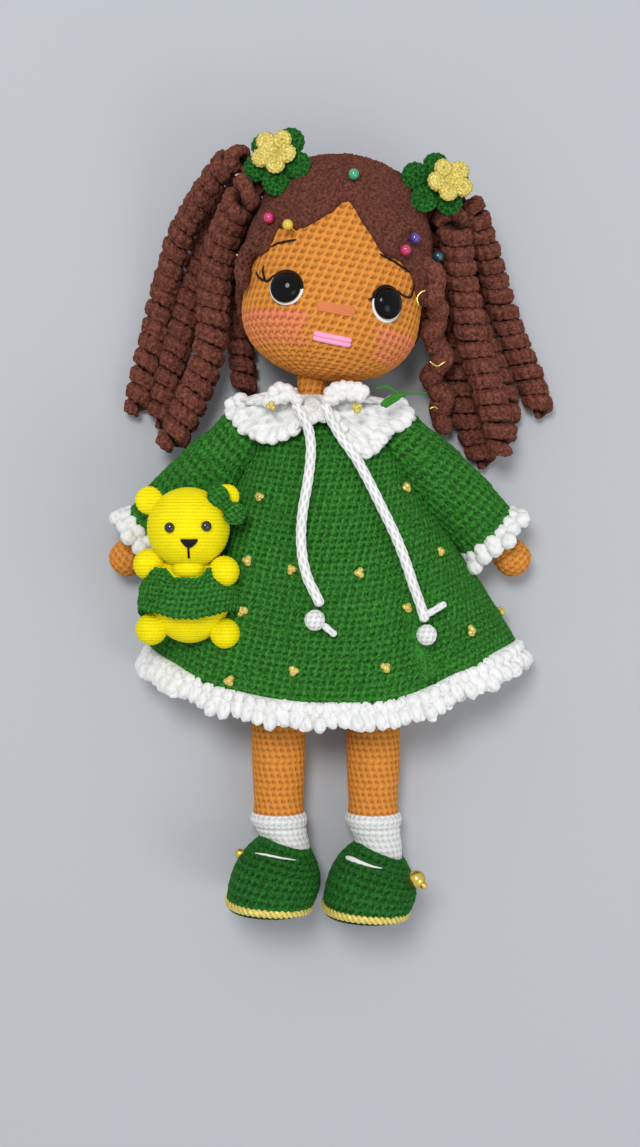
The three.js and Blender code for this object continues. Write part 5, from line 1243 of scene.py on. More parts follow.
class DOLL_OT_dress(bpy.types.Operator):
    """Dress worked in rounds from the neck"""

    bl_idname = "doll.dress"
    bl_label = "Dress"

    def execute(self, context):
        step = lambda a: np.where(np.sin(a) > -0.1, 0.57, 1.6)
        columns = spread(lambda a: dress_point(0.8, a), -QUARTER, TURN - QUARTER, step)[:-1]
        outer = spread(lambda t: dress_point(t, np.full_like(t, QUARTER)), 0.02, 1, 0.62)
        edge, inner = np.linspace(0, math.pi, 7)[1:-1], np.linspace(1, 0.48, 8)
        along = column(outer, 1 + 0.008 * np.sin(edge), inner)
        wall = column(0 * outer, DRESS_WALL / 2 - DRESS_WALL / 2 * np.cos(edge), DRESS_WALL + 0 * inner)
        is_outer = column(1 + 0 * outer, 1 - edge / math.pi, 0 * inner)
        grid = dress_point(along, columns, wall)
        extra = dress_folds(np.minimum(along, 1), columns) + 0.3 * cloud(grid, 12, 4) * is_outer
        made = worked(grid, stitch_of("dress"), 1.15, seed=2, cover=is_outer, extra=extra)
        put("dress_yarn_piece", above_table(made, 0.02), dress_yarn(), "doll_body", "dress")
        return {"FINISHED"}


def plain_skin(grid, height, seed):
    """Skin coloured rounds without blush."""
    made = worked(grid, stitch_of("skin"), height, seed)
    made["facts"]["blush"] = 0 * made["facts"]["relief"]
    return made


class DOLL_OT_torso(bpy.types.Operator):
    """Stuffed torso with its neck"""

    bl_idname = "doll.torso"
    bl_label = "Torso"

    def execute(self, context):
        table = smooth_table([
            [-2.4, 0.3, 0.3], [-2.3, 5.2, 5.2], [14, 5.3, 5.3], [17, 9, 8], [21, 18.5, 12.5], [26, 25, 15.2],
            [36, 26.6, 16.2], [50, 26.2, 16.6], [65, 27.8, 17.4], [78, 26.2, 16.2], [86, 19, 11.7], [89.7, 9.5, 6.2],
        ])
        down, around = np.linspace(-2.2, 89.5, 160)[:, None], even_angles(112, -QUARTER)
        half, deep = look_up(table, down)
        bend = eased((down - 8) / 16)
        x = mix(NECK_X, 0, bend) + half * power(np.cos(around), 0.92)
        z = mix(NECK_LEVEL, TORSO_LEVEL, bend) + deep * power(np.sin(around), 0.92)
        made = plain_skin(np.stack(np.broadcast_arrays(x, TORSO_TOP_Y - down, z), axis=-1), 0.6, 7)
        put("torso_skin", made, skin_yarn(), "doll_body", "torso")
        return {"FINISHED"}


def knot(place, outward, radius, seed):
    """Sewn knot: four small balls of yarn, set unevenly round its middle, the last one on top."""
    matrix, made = facing(outward), []
    for number in range(4):
        luck = float(chance(number, seed))
        turn = TURN * (number / 3 + 0.12 * luck) + seed
        away, up = (0.1 * radius, 0.5) if number == 3 else (0.45 * radius, 0)
        centre = place + matrix @ [away * math.cos(turn), away * math.sin(turn) * 1.2, up]
        halves = radius * np.array([0.55 + 0.2 * luck, 0.5 + 0.2 * luck, 0.5])
        made.append(worked_egg(centre, halves, (1.2, 1.1), 0.35, 0.38, axes=matrix, seed=number))
    return made


# Places of the knots on the dress, in pixels of the photograph
DRESS_KNOTS = [
    (261, 497), (404, 488), (293, 570), (359, 573), (439, 553), (248, 561), (242, 612), (406, 608), (470, 631),
    (230, 680), (294, 670), (385, 667), (504, 610),
]


def find_on(grid, pixels):
    """Points of a grid, and their outward directions, that the camera sees closest to pixels of the photograph."""
    out = normals_of(grid).reshape(-1, 3)
    flat = grid.reshape(-1, 3)
    seen = np.stack(seen_at(flat), axis=1)
    away = np.linalg.norm(seen[None] - np.array(pixels, float)[:, None], axis=2) + 1000 * (out[:, 2] < 0.1)
    best = away.argmin(axis=1)
    return flat[best], out[best]


class DOLL_OT_knots(bpy.types.Operator):
    """Gold knots sewn on the dress"""

    bl_idname = "doll.knots"
    bl_label = "Gold knots"

    def execute(self, context):
        along, angle = np.linspace(0.05, 1, 260)[:, None], even_angles(700, -QUARTER)
        grid = dress_point(along, angle)
        grid = grid + normals_of(grid) * dress_folds(along, angle)[..., None]
        made = []
        for number, (place, outward) in enumerate(zip(*find_on(grid, DRESS_KNOTS))):
            made += knot(place + outward * 1.1, outward, 1.75 + 0.35 * float(chance(number, 1)), number)
        put("dress_knots", made, gold_yarn(), "doll_body")
        return {"FINISHED"}


def frill(loop_at, steps, posts, thickness, seed, rows=2.2, popcorn=0.4):
    """Closed ring of a thick frill: loop_at gives its seam, edge and outward side, and each cluster of stitches is a
    cushion that ends in a half round lobe of its own length."""
    share = np.linspace(0, 1, steps, endpoint=False)
    seam, edge, out = loop_at(share)
    post = np.floor(share * posts)
    luck = chance(post, seed)
    lobe = half_round((2 * (share * posts - post) - 1) * 0.985)
    angle = even_angles(36)[:, None]
    down = (1 - np.cos(angle)) / 2
    wall = power(np.sin(angle), 0.5) * thickness / 2
    long = 0.84 + lobe * (0.13 + 0.24 * (luck - 0.5))
    grid = seam + (edge - seam) * (down * mix(1, long, down))[..., None]
    row = half_round(nearest(down * rows + 0.5 * luck + 0.25) * 1.7)
    bulge = lobe * mix(1 - popcorn, 1, row) * mix(1 - popcorn, 1, lobe)
    fluff = 0.3 * cloud(grid, 1.6, seed) + 0.5 * cloud(grid, 3.8, seed + 1)
    relief = np.clip(0.3 + 0.6 * bulge + 0.35 * fluff, 0, 1)
    swell = wall * (1 + 0.3 * (bulge - 0.5))
    swell = swell + np.sign(wall) * popcorn * 2.2 * (bulge - 0.7) * eased(np.abs(np.sin(angle)) * 3)
    grid = grid + out * (swell + fluff)[..., None]
    return skin(np.swapaxes(grid, 0, 1), loop=True, relief=relief.T)


def popcorn_on(seam, edge, out, far, over, halves, seed):
    """A popcorn stitch on a frill, at a share of the way from its seam to its edge and a height over it."""
    axes = squared(unit(edge - seam), out)
    return above_table(puff(mix(seam, edge, far) + out * over, halves, seed, axes))


class DOLL_OT_hem(bpy.types.Operator):
    """White frill under the hem of the dress"""

    bl_idname = "doll.hem"
    bl_label = "Hem frill"

    def execute(self, context):
        ring = spread(lambda a: dress_point(1.0, a), -QUARTER, TURN - QUARTER, 0.55)[:-1]
        steps, edge_length = len(ring), length_of(dress_point(1.0, ring))
        posts = round(edge_length * 1.15 / stitch_of("frill")[0])

        def loop_at(share):
            angle = np.interp(share, np.arange(steps) / steps, ring)
            start = dress_point(1.0, angle)
            slope = unit(start - dress_point(0.97, angle))
            lift = np.maximum(np.sin(angle), 0)
            side = unit(np.stack([np.cos(angle), 0 * angle, lift], axis=1))
            fold = np.sin(TURN * share * 21 + 2.2 * wander(share * 50, 7, 3)) + 0.4 * np.sin(TURN * share * 37 + 1)
            long = 9.6 * (1 + 0.13 * wander(share * 50, 3.1, 8) + 0.07 * fold)
            out = side * lift[:, None] + np.stack([0 * lift, 0 * lift, 1 - lift], axis=1) * 0.6
            seam = start - slope * 0.8 - side * (0.9 * lift)[:, None]
            edge = start + slope * long[:, None] + side * (lift * (1.6 + 1.7 * fold))[:, None]
            seam[:, 2], edge[:, 2] = np.maximum(seam[:, 2], 2.2), np.maximum(edge[:, 2], 2.4)
            return seam, edge, unit(out)

        made = [above_table(frill(loop_at, steps, posts, 3.6, 4))]
        count = round(edge_length / 4.3)
        seam, edge, out = loop_at((np.arange(count) + 0.5) / count)
        for n in np.flatnonzero(out[:, 2] > 0.12):
            luck = chance(n, [1, 2, 3])
            for far, halves in ((0.24, (2.3, 2.4, 2.0)), (0.66 + 0.1 * luck[0], (2.7, 3.0 + 0.9 * luck[1], 2.5))):
                seed = int(n) + round(far * 10)
                made.append(popcorn_on(seam[n], edge[n], out[n], far, 0.9 + 0.5 * luck[2], halves, seed))
        put("hem_frill_yarn", made, white_yarn(), "doll_body", "hem_ruffle")
        return {"FINISHED"}


# Outer edge of the two lobes in pixels of the photograph, from the doll's left round the front to its right
COLLAR_EDGE = [
    (340, 398), (373, 403), (403, 405), (411, 410), (411, 420), (401, 427), (390, 433), (383, 445), (372, 453),
    (360, 455), (350, 446), (341, 426), (331, 419), (320, 419), (312, 421), (304, 421), (298, 429), (288, 435),
    (278, 439), (266, 442), (251, 436), (239, 428), (229, 417), (227, 408), (231, 402), (240, 402), (254, 406),
    (290, 400),
]

# Tufts that stand up beside the neck, in the same pixels
COLLAR_TUFTS = [
    (276, 399), (274, 392), (280, 388), (287, 390), (291, 396), (284, 398), (297, 400), (268, 402), (328, 400),
    (330, 393), (336, 388), (343, 387), (350, 387), (357, 388), (363, 391), (360, 396), (351, 395), (342, 395),
    (334, 399),
]

# Gold knots and green yarn ends at the collar: pixels, height, and the radius of each end
COLLAR_KNOTS = [((271, 406), 52.0), ((357, 408), 52.5)]
YARN_ENDS = [
    ([(381, 406), (388, 400), (397, 396), (406, 394)], 47.5, 1.0),
    ([(384, 407), (392, 402), (400, 397)], 47.5, 0.8),
    ([(376, 389), (384, 386.5), (392, 389), (399, 395)], 48, 0.45),
    ([(394, 396), (404, 393), (414, 393.5), (427, 393)], 46, 0.4),
]


def collar_height(x, y):
    """Height of the lobes: an arch over the shoulders that also falls towards the neck."""
    return 47.2 - 0.0132 * x**2 - 0.35 * np.maximum(y - 60, 0)


class DOLL_OT_collar(bpy.types.Operator):
    """White collar: two frilled lobes on the chest and a band round the back of the neck"""

    bl_idname = "doll.collar"
    bl_label = "Collar"

    def execute(self, context):
        seen = through(COLLAR_EDGE, 460)
        front = at_height(seen, 45)
        for _ in range(4):
            front = at_height(seen, collar_height(front[:, 0], front[:, 1]))
        back = np.linspace(math.pi, TURN, 132)[1:-1]
        angle = np.concatenate([np.linspace(0, math.pi, len(front)), back])
        low = 3.0 * eased((np.sin(angle) - 0.4) / 0.4)
        ring = NECK_RADIUS * np.cos(angle), NECK_RADIUS * np.sin(angle)
        neck = np.stack([NECK_X + ring[0], 70.5 - low, NECK_LEVEL + ring[1]], axis=1)
        aside = np.abs(np.cos(back))
        band = [15.5 * np.cos(back), 66 + 2 * aside, NECK_LEVEL + 17 * np.sin(back) + 13 * aside**3]
        outer = np.vstack([front, np.column_stack(band)])

        gone = gone_along(outer)
        at = gone / (gone[-1] + 0.5) * round(gone[-1] / stitch_of("frill")[0])
        number = np.floor(at)
        luck = chance(number, 5)
        lobe = half_round((2 * (at - number) - 1) * 0.985)
        share = np.linspace(0, 1, len(angle), endpoint=False)
        wave = np.sin(TURN * share * 13 + 2 * wander(share * 60, 9, 2))
        half = 36
        go = column(np.linspace(0, 1, half, endpoint=False), np.linspace(1, 0, half, endpoint=False))
        is_top = column(np.ones(half), -np.ones(half))
        reach = go * (1 + (0.09 * (lobe - 0.75) + 0.07 * (luck - 0.5) * lobe) * go**8)
        grid = neck + (outer - neck) * reach[..., None]
        is_front = (np.sin(angle) > 0).astype(float)
        around = np.stack(np.broadcast_arrays(np.cos(angle), 0.6, np.sin(angle)), axis=-1)
        up = unit(np.where(is_front[:, None] > 0, [0, 0.12, 1.0], around))
        row = half_round(nearest(go * 6.4 + 0.5 * (number % 2) + 0.2 * luck) * 1.85)
        cushion = mix(1, lobe, eased((go - 0.66) / 0.26))
        blob = cloud(grid, 3.6, 21) + 0.5 * cloud(grid, 1.9, 22)
        relief = np.clip(0.32 + 0.25 * cushion + 0.2 * row * cushion + 0.36 * blob, 0, 1)
        tuck = np.sqrt(np.clip(1 - np.clip((go - 0.9) / 0.1, 0, 1) ** 2, 0.02, 1))
        lift = is_top * (1.8 * tuck) + 2.4 * 4 * go * (1 - go) + 1.5 * wave * go * is_front + 0.8
        lift += ((relief - 0.6) * 2.0 + 0.25 * cloud(grid, 1.5, 6)) * (is_top > 0) * tuck
        made = [skin(np.swapaxes(grid + up * lift[..., None], 0, 1), loop=True, relief=relief.T)]

        gone = gone_along(front)
        for n, distance in enumerate(np.arange(24, gone[-1] - 22, 4.7)):
            k = int(np.searchsorted(gone, distance))
            luck = chance(n, [4, 5, 6])
            way = unit(front[k] - neck[k])
            place = front[k] - way * (1.6 + 0.8 * luck[0]) + [0, 0, 1.9]
            halves = 2.5 + 0.5 * luck[1], 2.9 + 0.6 * luck[2], 2.2
            made.append(puff(place, halves, n, squared(way, UP)))
        for n, pixel in enumerate(COLLAR_TUFTS):
            place = at_height(pixel, 45.5 + 1.6 * chance(n, 8))
            made.append(puff(place, (2.5, 2.3, 2.6), n + 3, turn_about(2, n * 1.3)))
        put("collar_frill_yarn", made, white_yarn(), "doll_body", "collar")
        knots = []
        for number, (pixel, height) in enumerate(COLLAR_KNOTS):
            knots += knot(at_height(pixel, height), UP, 1.8, number + 20)
        put("collar_knots", knots, gold_yarn(), "doll_body")
        ends = [tube(through(at_height(line, height), 30), radius, 8) for line, height, radius in YARN_ENDS]
        leaf = yarn("leaf_bright_cotton", linear("#357A26"), 0.4, 0.5, 1.4, 0.2)
        put("yarn_ends", ends, leaf, "doll_body")
        return {"FINISHED"}


# Drawstrings

TIE_DIAMETER = 3.6
TIE_ROUTES = {
    "right": [
        [-9.6, 62.8, 53.4], [-7.4, 59.5, 52.8], [-4.9, 55, 51.2], [-3.6, 50, 50], [-3.4, 44, 50.4], [-4.4, 34.6, 51.6],
        [-6.3, 23.3, 52.4], [-7, 14.2, 52.8], [-6.3, 5, 52.8], [-4.2, -2.6, 52.6], [-1.2, -8.6, 52.3],
        [0.4, -12.2, 52],
    ],
    "left": [
        [1.3, 62.8, 53.4], [2.8, 59.2, 52.8], [5.2, 54.8, 51.2], [8, 50.2, 50], [13, 43.2, 49.8], [17.8, 34.6, 50.2],
        [23.3, 23.5, 50.2], [27.8, 14.2, 49.8], [31.5, 5, 49.4], [34.6, -4.3, 48.6], [37.6, -12.5, 47.4],
        [39.2, -18.2, 46.6],
    ],
}
# Middle of each bobble, and the two ends of its tail, seen from the front
BOBBLES = {"right": ((-1.9, -17.2), (0.8, -18.6), (5.9, -22.9)), "left": ((39.6, -22.8), (39.4, -15.4), (46.9, -11.0))}
BOBBLE_RADIUS, TAIL_RADIUS = 3.7, 1.25


class DOLL_OT_ties(bpy.types.Operator):
    """White drawstrings with a bobble and a short end each"""

    bl_idname = "doll.ties"
    bl_label = "Drawstrings"

    def execute(self, context):
        for name, points in TIE_ROUTES.items():
            path = through(points, 220)
            strand = worked_cord(path, TIE_DIAMETER / 2, (2.6, 2.3), 0.5, 24, seed=3)
            cord = put(f"tie_{name}", strand, white_yarn(), "doll_body", f"tie_cord_{name}")
            middle, start, end = BOBBLES[name]
            level = path[-1, 2] + BOBBLE_RADIUS - TIE_DIAMETER / 2
            ball = worked_egg(np.array([*middle, level]), [BOBBLE_RADIUS] * 3, (2.4, 2.2), 0.55, fine=0.4, seed=11)
            start, end = np.array([*start, level - 0.6]), np.array([*end, level - 1.6])
            route = through([start, mix(start, end, 0.5) + [0, 0, 0.5], end], 60)
            tail = worked_cord(route, TAIL_RADIUS, (1.9, 1.8), 0.35, 12)
            bobble = put(f"tie_end_{name}", [ball, tail], white_yarn(), "doll_body", f"tie_bobble_{name}")
            route = [tuple(p * MM) for p in path[::6]] + [tuple(path[-1] * MM)]
        return {"FINISHED"}


# Arms and sleeves

SHOULDER = np.array([31.0, 51.0, 24.0])
ARM_LENGTH, ARM_DROP, ARM_SPREAD = 64.5, 11.5, math.radians(45)
SLEEVE_LENGTH, SLEEVE_RADIUS, SLEEVE_WALL, SLEEVE_BALL = ARM_LENGTH * 0.78, 13.4, 2.6, 11.3
SLEEVE_TABLE = smooth_table([[-0.2, 0.72], [0, 0.84], [0.2, 0.92], [0.5, 1], [0.8, 0.98], [1, 0.92]])


def arm_frame(side):
    """Shoulder, the arm's direction and the two square to it."""
    flat = math.sqrt(ARM_LENGTH**2 - ARM_DROP**2)
    ahead = unit(np.array([side * flat * math.sin(ARM_SPREAD), -flat * math.cos(ARM_SPREAD), -ARM_DROP]))
    across = unit(np.cross(ahead, [0, 0, 1]))
    return SHOULDER * [side, 1, 1], ahead, across, np.cross(across, ahead)


def about_line(place, ahead, across, up, along, radius, angle):
    """Points round a line, from their distances along it, their radii and the angles round it."""
    return place + along[..., None] * ahead + radius[..., None] * spoke(angle, across, up)


def limb(line, table, ends, step, angles, height, seed):
    """Skin coloured limb whose radius follows a table along a line."""

    def shape(along, angle):
        return about_line(*line, along, *look_up(table, along), angle)

    rows = spread(lambda t: shape(t, 0 * t), *ends, step)
    return plain_skin(shape(rows[:, None], angles), height, seed)


def cuff(share, side):
    """Seam, edge and outward side of a cuff's frill at shares of the way round it."""
    place, ahead, across, up = arm_frame(side)
    out = spoke(share * TURN, across, up)
    fold = np.sin(share * TURN * 5 + 1.5 * wander(share * 30, 6, 5 + side))[:, None]
    seam = place + ahead * (SLEEVE_LENGTH + 0.2) + out * 10.6
    edge = place + ahead * (SLEEVE_LENGTH + 4.0 + 0.6 * fold) + out * (12.4 + 1.2 * fold)
    return seam, edge, unit(out + 0.25 * ahead)


class DOLL_OT_arms(bpy.types.Operator):
    """Arms with round hands, sleeves and their cuff frills"""

    bl_idname = "doll.arms"
    bl_label = "Arms"

    def execute(self, context):
        arm_table = smooth_table([
            [-8.4, 0.6], [-7, 5.4], [0, 7.6], [15, 6.9], [35, 6.5], [53, 5.7], [56.5, 5.3], [60, 6.3], [64.5, 7.1],
            [68.5, 6.0], [70.8, 3.2], [71.5, 0.5],
        ])
        cap, straight = np.linspace(-math.radians(62), 0, 34), np.arange(0, SLEEVE_LENGTH, 0.55)[1:]
        (swell,) = look_up(SLEEVE_TABLE, straight / SLEEVE_LENGTH)
        outer = np.concatenate([SLEEVE_BALL * np.sin(cap), straight])
        radius = np.concatenate([SLEEVE_BALL * np.cos(cap), swell * SLEEVE_RADIUS])
        radius = mix(np.minimum(radius, SLEEVE_BALL + 0.3), radius, eased((outer + 2) / 12))
        edge, inner = np.linspace(0, math.pi, 7)[1:], np.linspace(SLEEVE_LENGTH, 4, 9)[1:]
        lining = np.interp(inner, [4, 20, SLEEVE_LENGTH], [8.2, 9.4, radius[-1] - SLEEVE_WALL])
        half = SLEEVE_WALL / 2
        along = column(outer, SLEEVE_LENGTH + half * np.sin(edge), inner)
        radius = column(radius, radius[-1] - half + half * np.cos(edge), lining)
        is_outer = column(1 + 0 * outer, 0 * edge, 0 * inner)
        posts = round(TURN * 13 * 1.05 / stitch_of("frill")[0])
        for name, side in SIDES.items():
            line = arm_frame(side)
            arm = limb(line, arm_table, (-8.3, 71.4), 0.5, even_angles(84), 0.7, 3)
            put(f"arm_{name}_skin", arm, skin_yarn(), f"arm_{name}", f"arm_{name}")

            grid = about_line(*line, along, radius, even_angles(160))
            extra = 0.45 * cloud(grid, 11, 6) * is_outer
            sleeve = above_table(worked(grid, stitch_of("sleeve"), 1.1, seed=5, cover=is_outer, extra=extra))
            put(f"sleeve_{name}_yarn", sleeve, dress_yarn(), f"arm_{name}", f"sleeve_{name}")

            made = [above_table(frill(lambda share: cuff(share, side), 260, posts, 4.0, 6 + side, 1.9, 0.3))]
            count = 14
            for far, halves in ((0.0, (3.0, 2.9, 2.8)), (0.85, (3.4, 3.2, 3.2))):
                for n, (seam, edge, out) in enumerate(zip(*cuff((np.arange(count) + far) / count, side))):
                    share = far + 0.12 * float(chance(n, far))
                    made.append(popcorn_on(seam, edge, out, share, 1.1, halves, n + count))
            put(f"cuff_{name}_yarn", made, white_yarn(), f"arm_{name}", f"cuff_ruffle_{name}")
        return {"FINISHED"}


# Legs, socks and shoes

HIP_Y, HIP_Z, LEG_END_Y, LEG_END_Z = -5, 16, -100.5, 13
SOCK_TOP_Y, SHOE_WIDTH, SHOE_LENGTH, SHOE_WALL = -94.8, 34.2, 46, 2.6
# Level of each shoe's top edge, its height and the slant of the edge
SHOE_TOPS = {-1: (-105.2, 24.9, 0.31), 1: (-108.2, 24.1, 0.4)}
SHOE_TABLE = smooth_table([
    [0, 0.57, 0.57, 0.03], [0.12, 0.71, 0.66, 0.01], [0.3, 0.88, 0.86, 0.004], [0.5, 0.97, 0.97, 0.004],
    [0.75, 0.98, 1, 0.004], [0.94, 0.92, 0.99, 0.005], [1, 0.84, 0.95, 0.03],
])
# Slit of each shoe in pixels of the photograph, with half its height in mm
SLITS = {
    -1: [(255, 853.5, 0.2), (266, 855.5, 0.45), (278, 858, 0.42), (288, 859.6, 0.3), (296, 860.5, 0.15)],
    1: [(346, 857.5, 0.5), (353, 860.5, 1.1), (362, 863.8, 0.9), (372, 867, 0.5), (382.5, 868.8, 0.2)],
}
BEAD_PLACES = {"right": (-31.0, -108.4, 24), "left": (36.7, -115.9, 36)}
BEAD_RADII = {"right": 2, "left": 3.4}


def hip_x(side):
    return 2.3 + side * 18.6


def shoe_point(down, angle, side, wall=0.0):
    """Shoe surface: rounded rings whose width, front and back follow a table of shares down its height."""
    width, front, back = look_up(SHOE_TABLE, np.clip(down, 0, 1))
    high, low = front * SHOE_LENGTH - wall, back * SHOE_LENGTH + wall
    top, tall, slant = SHOE_TOPS[side]
    aside = mix(3.0, -4.1, down) + (width * SHOE_WIDTH / 2 - wall) * power(np.cos(angle), 0.9)
    z = (low + high) / 2 + (high - low) / 2 * power(np.sin(angle), 0.8)
    y = top - down * tall - mix(slant, 0.04, np.clip(down, 0, 1)) * aside
    return np.stack(np.broadcast_arrays(hip_x(side) + aside, y, z), axis=-1)


class DOLL_OT_legs(bpy.types.Operator):
    """Legs and rolled socks"""

    bl_idname = "doll.legs"
    bl_label = "Legs"

    def execute(self, context):
        leg_table = smooth_table([
            [-9.9, 0.6], [-8.6, 5.1], [-5, 8.7], [0, 10], [28, 10.1], [67, 10.3], [84, 9.5], [94, 9.1], [95.4, 0.6],
        ])
        sock_table = smooth_table([
            [-1.0, 10.0], [0.4, 10.9], [2.2, 11.0], [3.8, 10.4], [4.6, 9.8], [6, 9.7], [8.5, 9.1], [14, 9.0],
            [24, 9.0],
        ])
        outer = np.linspace(-1.0, 24, 70)
        along, radius = column([5, 2, -0.4], outer), column([9.3, 9.3, 9.5], *look_up(sock_table, outer))
        for name, side in SIDES.items():
            start, end = np.array([hip_x(side), HIP_Y, HIP_Z]), np.array([hip_x(side), LEG_END_Y, LEG_END_Z])
            ahead, across = unit(end - start), np.array([1.0, 0, 0])
            line = start, ahead, across, np.cross(across, ahead)
            leg = limb(line, leg_table, (-9.8, 95.4), 0.52, even_angles(116, -QUARTER), 0.75, 4)
            put(f"leg_{name}_skin", leg, skin_yarn(), f"leg_{name}", f"leg_{name}")

            top = (HIP_Y - SOCK_TOP_Y) / -ahead[1]
            lean = (3.2 if side < 0 else 2.2) * eased((along - 1) / 12)[..., None] * across
            sock = about_line(*line, top + along, radius, even_angles(120, -QUARTER)) + lean
            foot = shoe_point(np.linspace(0.06, 0.985, 50)[:, None], even_angles(90, -QUARTER), side, 2.95)
            made = [worked(sock, (2.5, 2.4), 0.6, seed=6), worked(foot, (2.6, 2.6), 0.5, seed=8)]
            put(f"sock_{name}_yarn", made, white_yarn(), f"leg_{name}", f"sock_{name}")
        return {"FINISHED"}


class DOLL_OT_shoes(bpy.types.Operator):
    """Shoes with a slit, gold braid, a dark sole and a bead"""

    bl_idname = "doll.shoes"
    bl_label = "Shoes"

    def execute(self, context):
        width = stitch_of("sleeve")[0]
        sole = yarn("sole_green_cotton", toned(settings()[1].leaf, 0.45), 0.5, 0.3, 1.4, 0.1)
        angles = spread(lambda a: shoe_point(0.7, a, 1), -QUARTER, TURN - QUARTER, 0.6)[:-1]
        inner, outer = np.linspace(0, 0.5, 12)[::-1], np.linspace(0, 0.9, 76)
        edge = np.linspace(0, math.pi, 7)[1:-1]
        down = column(inner, -0.03 * np.sin(edge), outer, [0.93, 0.955])
        half = SHOE_WALL / 2
        wall = column(SHOE_WALL + 0 * inner, half + half * np.cos(edge), 0 * outer, [0.6, 2.0])
        is_outer = column(0 * inner, edge / math.pi, 1 + 0 * outer, [1, 1])
        sole_down = column(np.linspace(0.9, 0.985, 8), [1.0])
        sole_wall = column([1.4, 0.5, 0.1, 0, 0, 0, 0.2, 0.9, 2.5])
        for name, side in SIDES.items():
            body = f"leg_{name}"
            grid = shoe_point(down, angles, side, wall)
            made = above_table(worked(grid, (width, width * 1.03), 1.0, seed=9, cover=is_outer), 0.1)
            put(f"shoe_{name}_yarn", made, leaf_yarn(), body, f"shoe_{name}")

            grid = shoe_point(np.linspace(0, 0.5, 160)[:, None], even_angles(500), side)
            line = through(SLITS[side], 34)
            places, outs = find_on(grid, line[:, :2])
            path = through((places + outs * 0.25)[::3], 50)
            slit = tube(path, np.interp(np.linspace(0, 1, 50), np.linspace(0, 1, 34), line[:, 2]), 12)
            put(f"sock_in_slit_{name}", slit, white_yarn(), body)

            loop = shoe_point(0.885, even_angles(500), side)
            path = through(np.vstack([loop, loop[:1]])[::10], 700)[:-1]
            ahead, rise = unit(np.roll(path, -1, 0) - np.roll(path, 1, 0)), np.array([0, 1.0, 0])
            out = unit(np.cross(ahead, rise))
            out *= np.sign(np.einsum("ij,ij->i", out, path - path.mean(0)))[:, None]
            angle, gone = even_angles(14), np.linspace(0, 1, len(path), endpoint=False)[:, None]
            twist = 0.5 + 0.5 * np.cos(TURN * gone * 60 - 2 * angle)
            grid = path[:, None] + spoke(angle, 0.9 * out[:, None], 1.5 * rise) * (0.78 + 0.3 * twist)[..., None]
            trim = skin(grid, loop=True, relief=np.clip(0.15 + 0.85 * twist, 0, 1))
            put(f"shoe_braid_{name}", above_table(trim, 0.1), gold_yarn(), body)

            bottom = worked(shoe_point(sole_down, angles, side, sole_wall), (2.6, 2.4), 0.4, seed=4)
            put(f"shoe_sole_{name}", above_table(bottom, 0.1), sole, body)

            angle, place = np.linspace(-QUARTER + 0.04, QUARTER - 0.04, 24), np.array(BEAD_PLACES[name])
            ball = BEAD_RADII[name] * np.stack([np.cos(angle), np.sin(angle)], axis=1)
            beads = [turned(ball, np.eye(3), place, 32)]
            if name == "left":
                beads.append(turned(ball * 0.42, np.eye(3), place + [2.6, -2.2, 1.4], 24))
            put(f"bead_{name}", beads, bead_gold(), body, f"shoe_bead_{name}")
        return {"FINISHED"}


# Bear

BEAR_X = -49
BEAR_HEAD, BEAR_HEAD_HALF = np.array([BEAR_X, 17, 47.0]), np.array([15.3, 15.0, 13.5])
BEAR_BODY, BEAR_BODY_HALF = np.array([BEAR_X, -9, 41.0]), np.array([15.0, 17.0, 12.0])
BEAR_TOP_WALL = 3
# Middle of each ear from the head's, and its radius
BEAR_EARS = [([-14.6, 10.2, 0], 5.2), ([14.4, 11.6, 0], 4.6)]
# Middle of each arm and leg from the body's, and its radius
BEAR_LIMBS = {
    ("arm", "right"): ([-15.0, 12.4, 2.36], 5.9), ("leg", "right"): ([-14.1, -11.8, 2.36], 5.9),
    ("arm", "left"): ([13.4, 9.8, 7.6], 5.7), ("leg", "left"): ([13.4, -13.4, 2.24], 5.6),
}


def on_bear_face(across, up):
    """Point of the bear's face at shares of its half width and half height, and its outward direction there."""
    local = np.array([across, up, math.sqrt(1 - across**2 - up**2)])
    return BEAR_HEAD + BEAR_HEAD_HALF * local, unit(local / BEAR_HEAD_HALF)


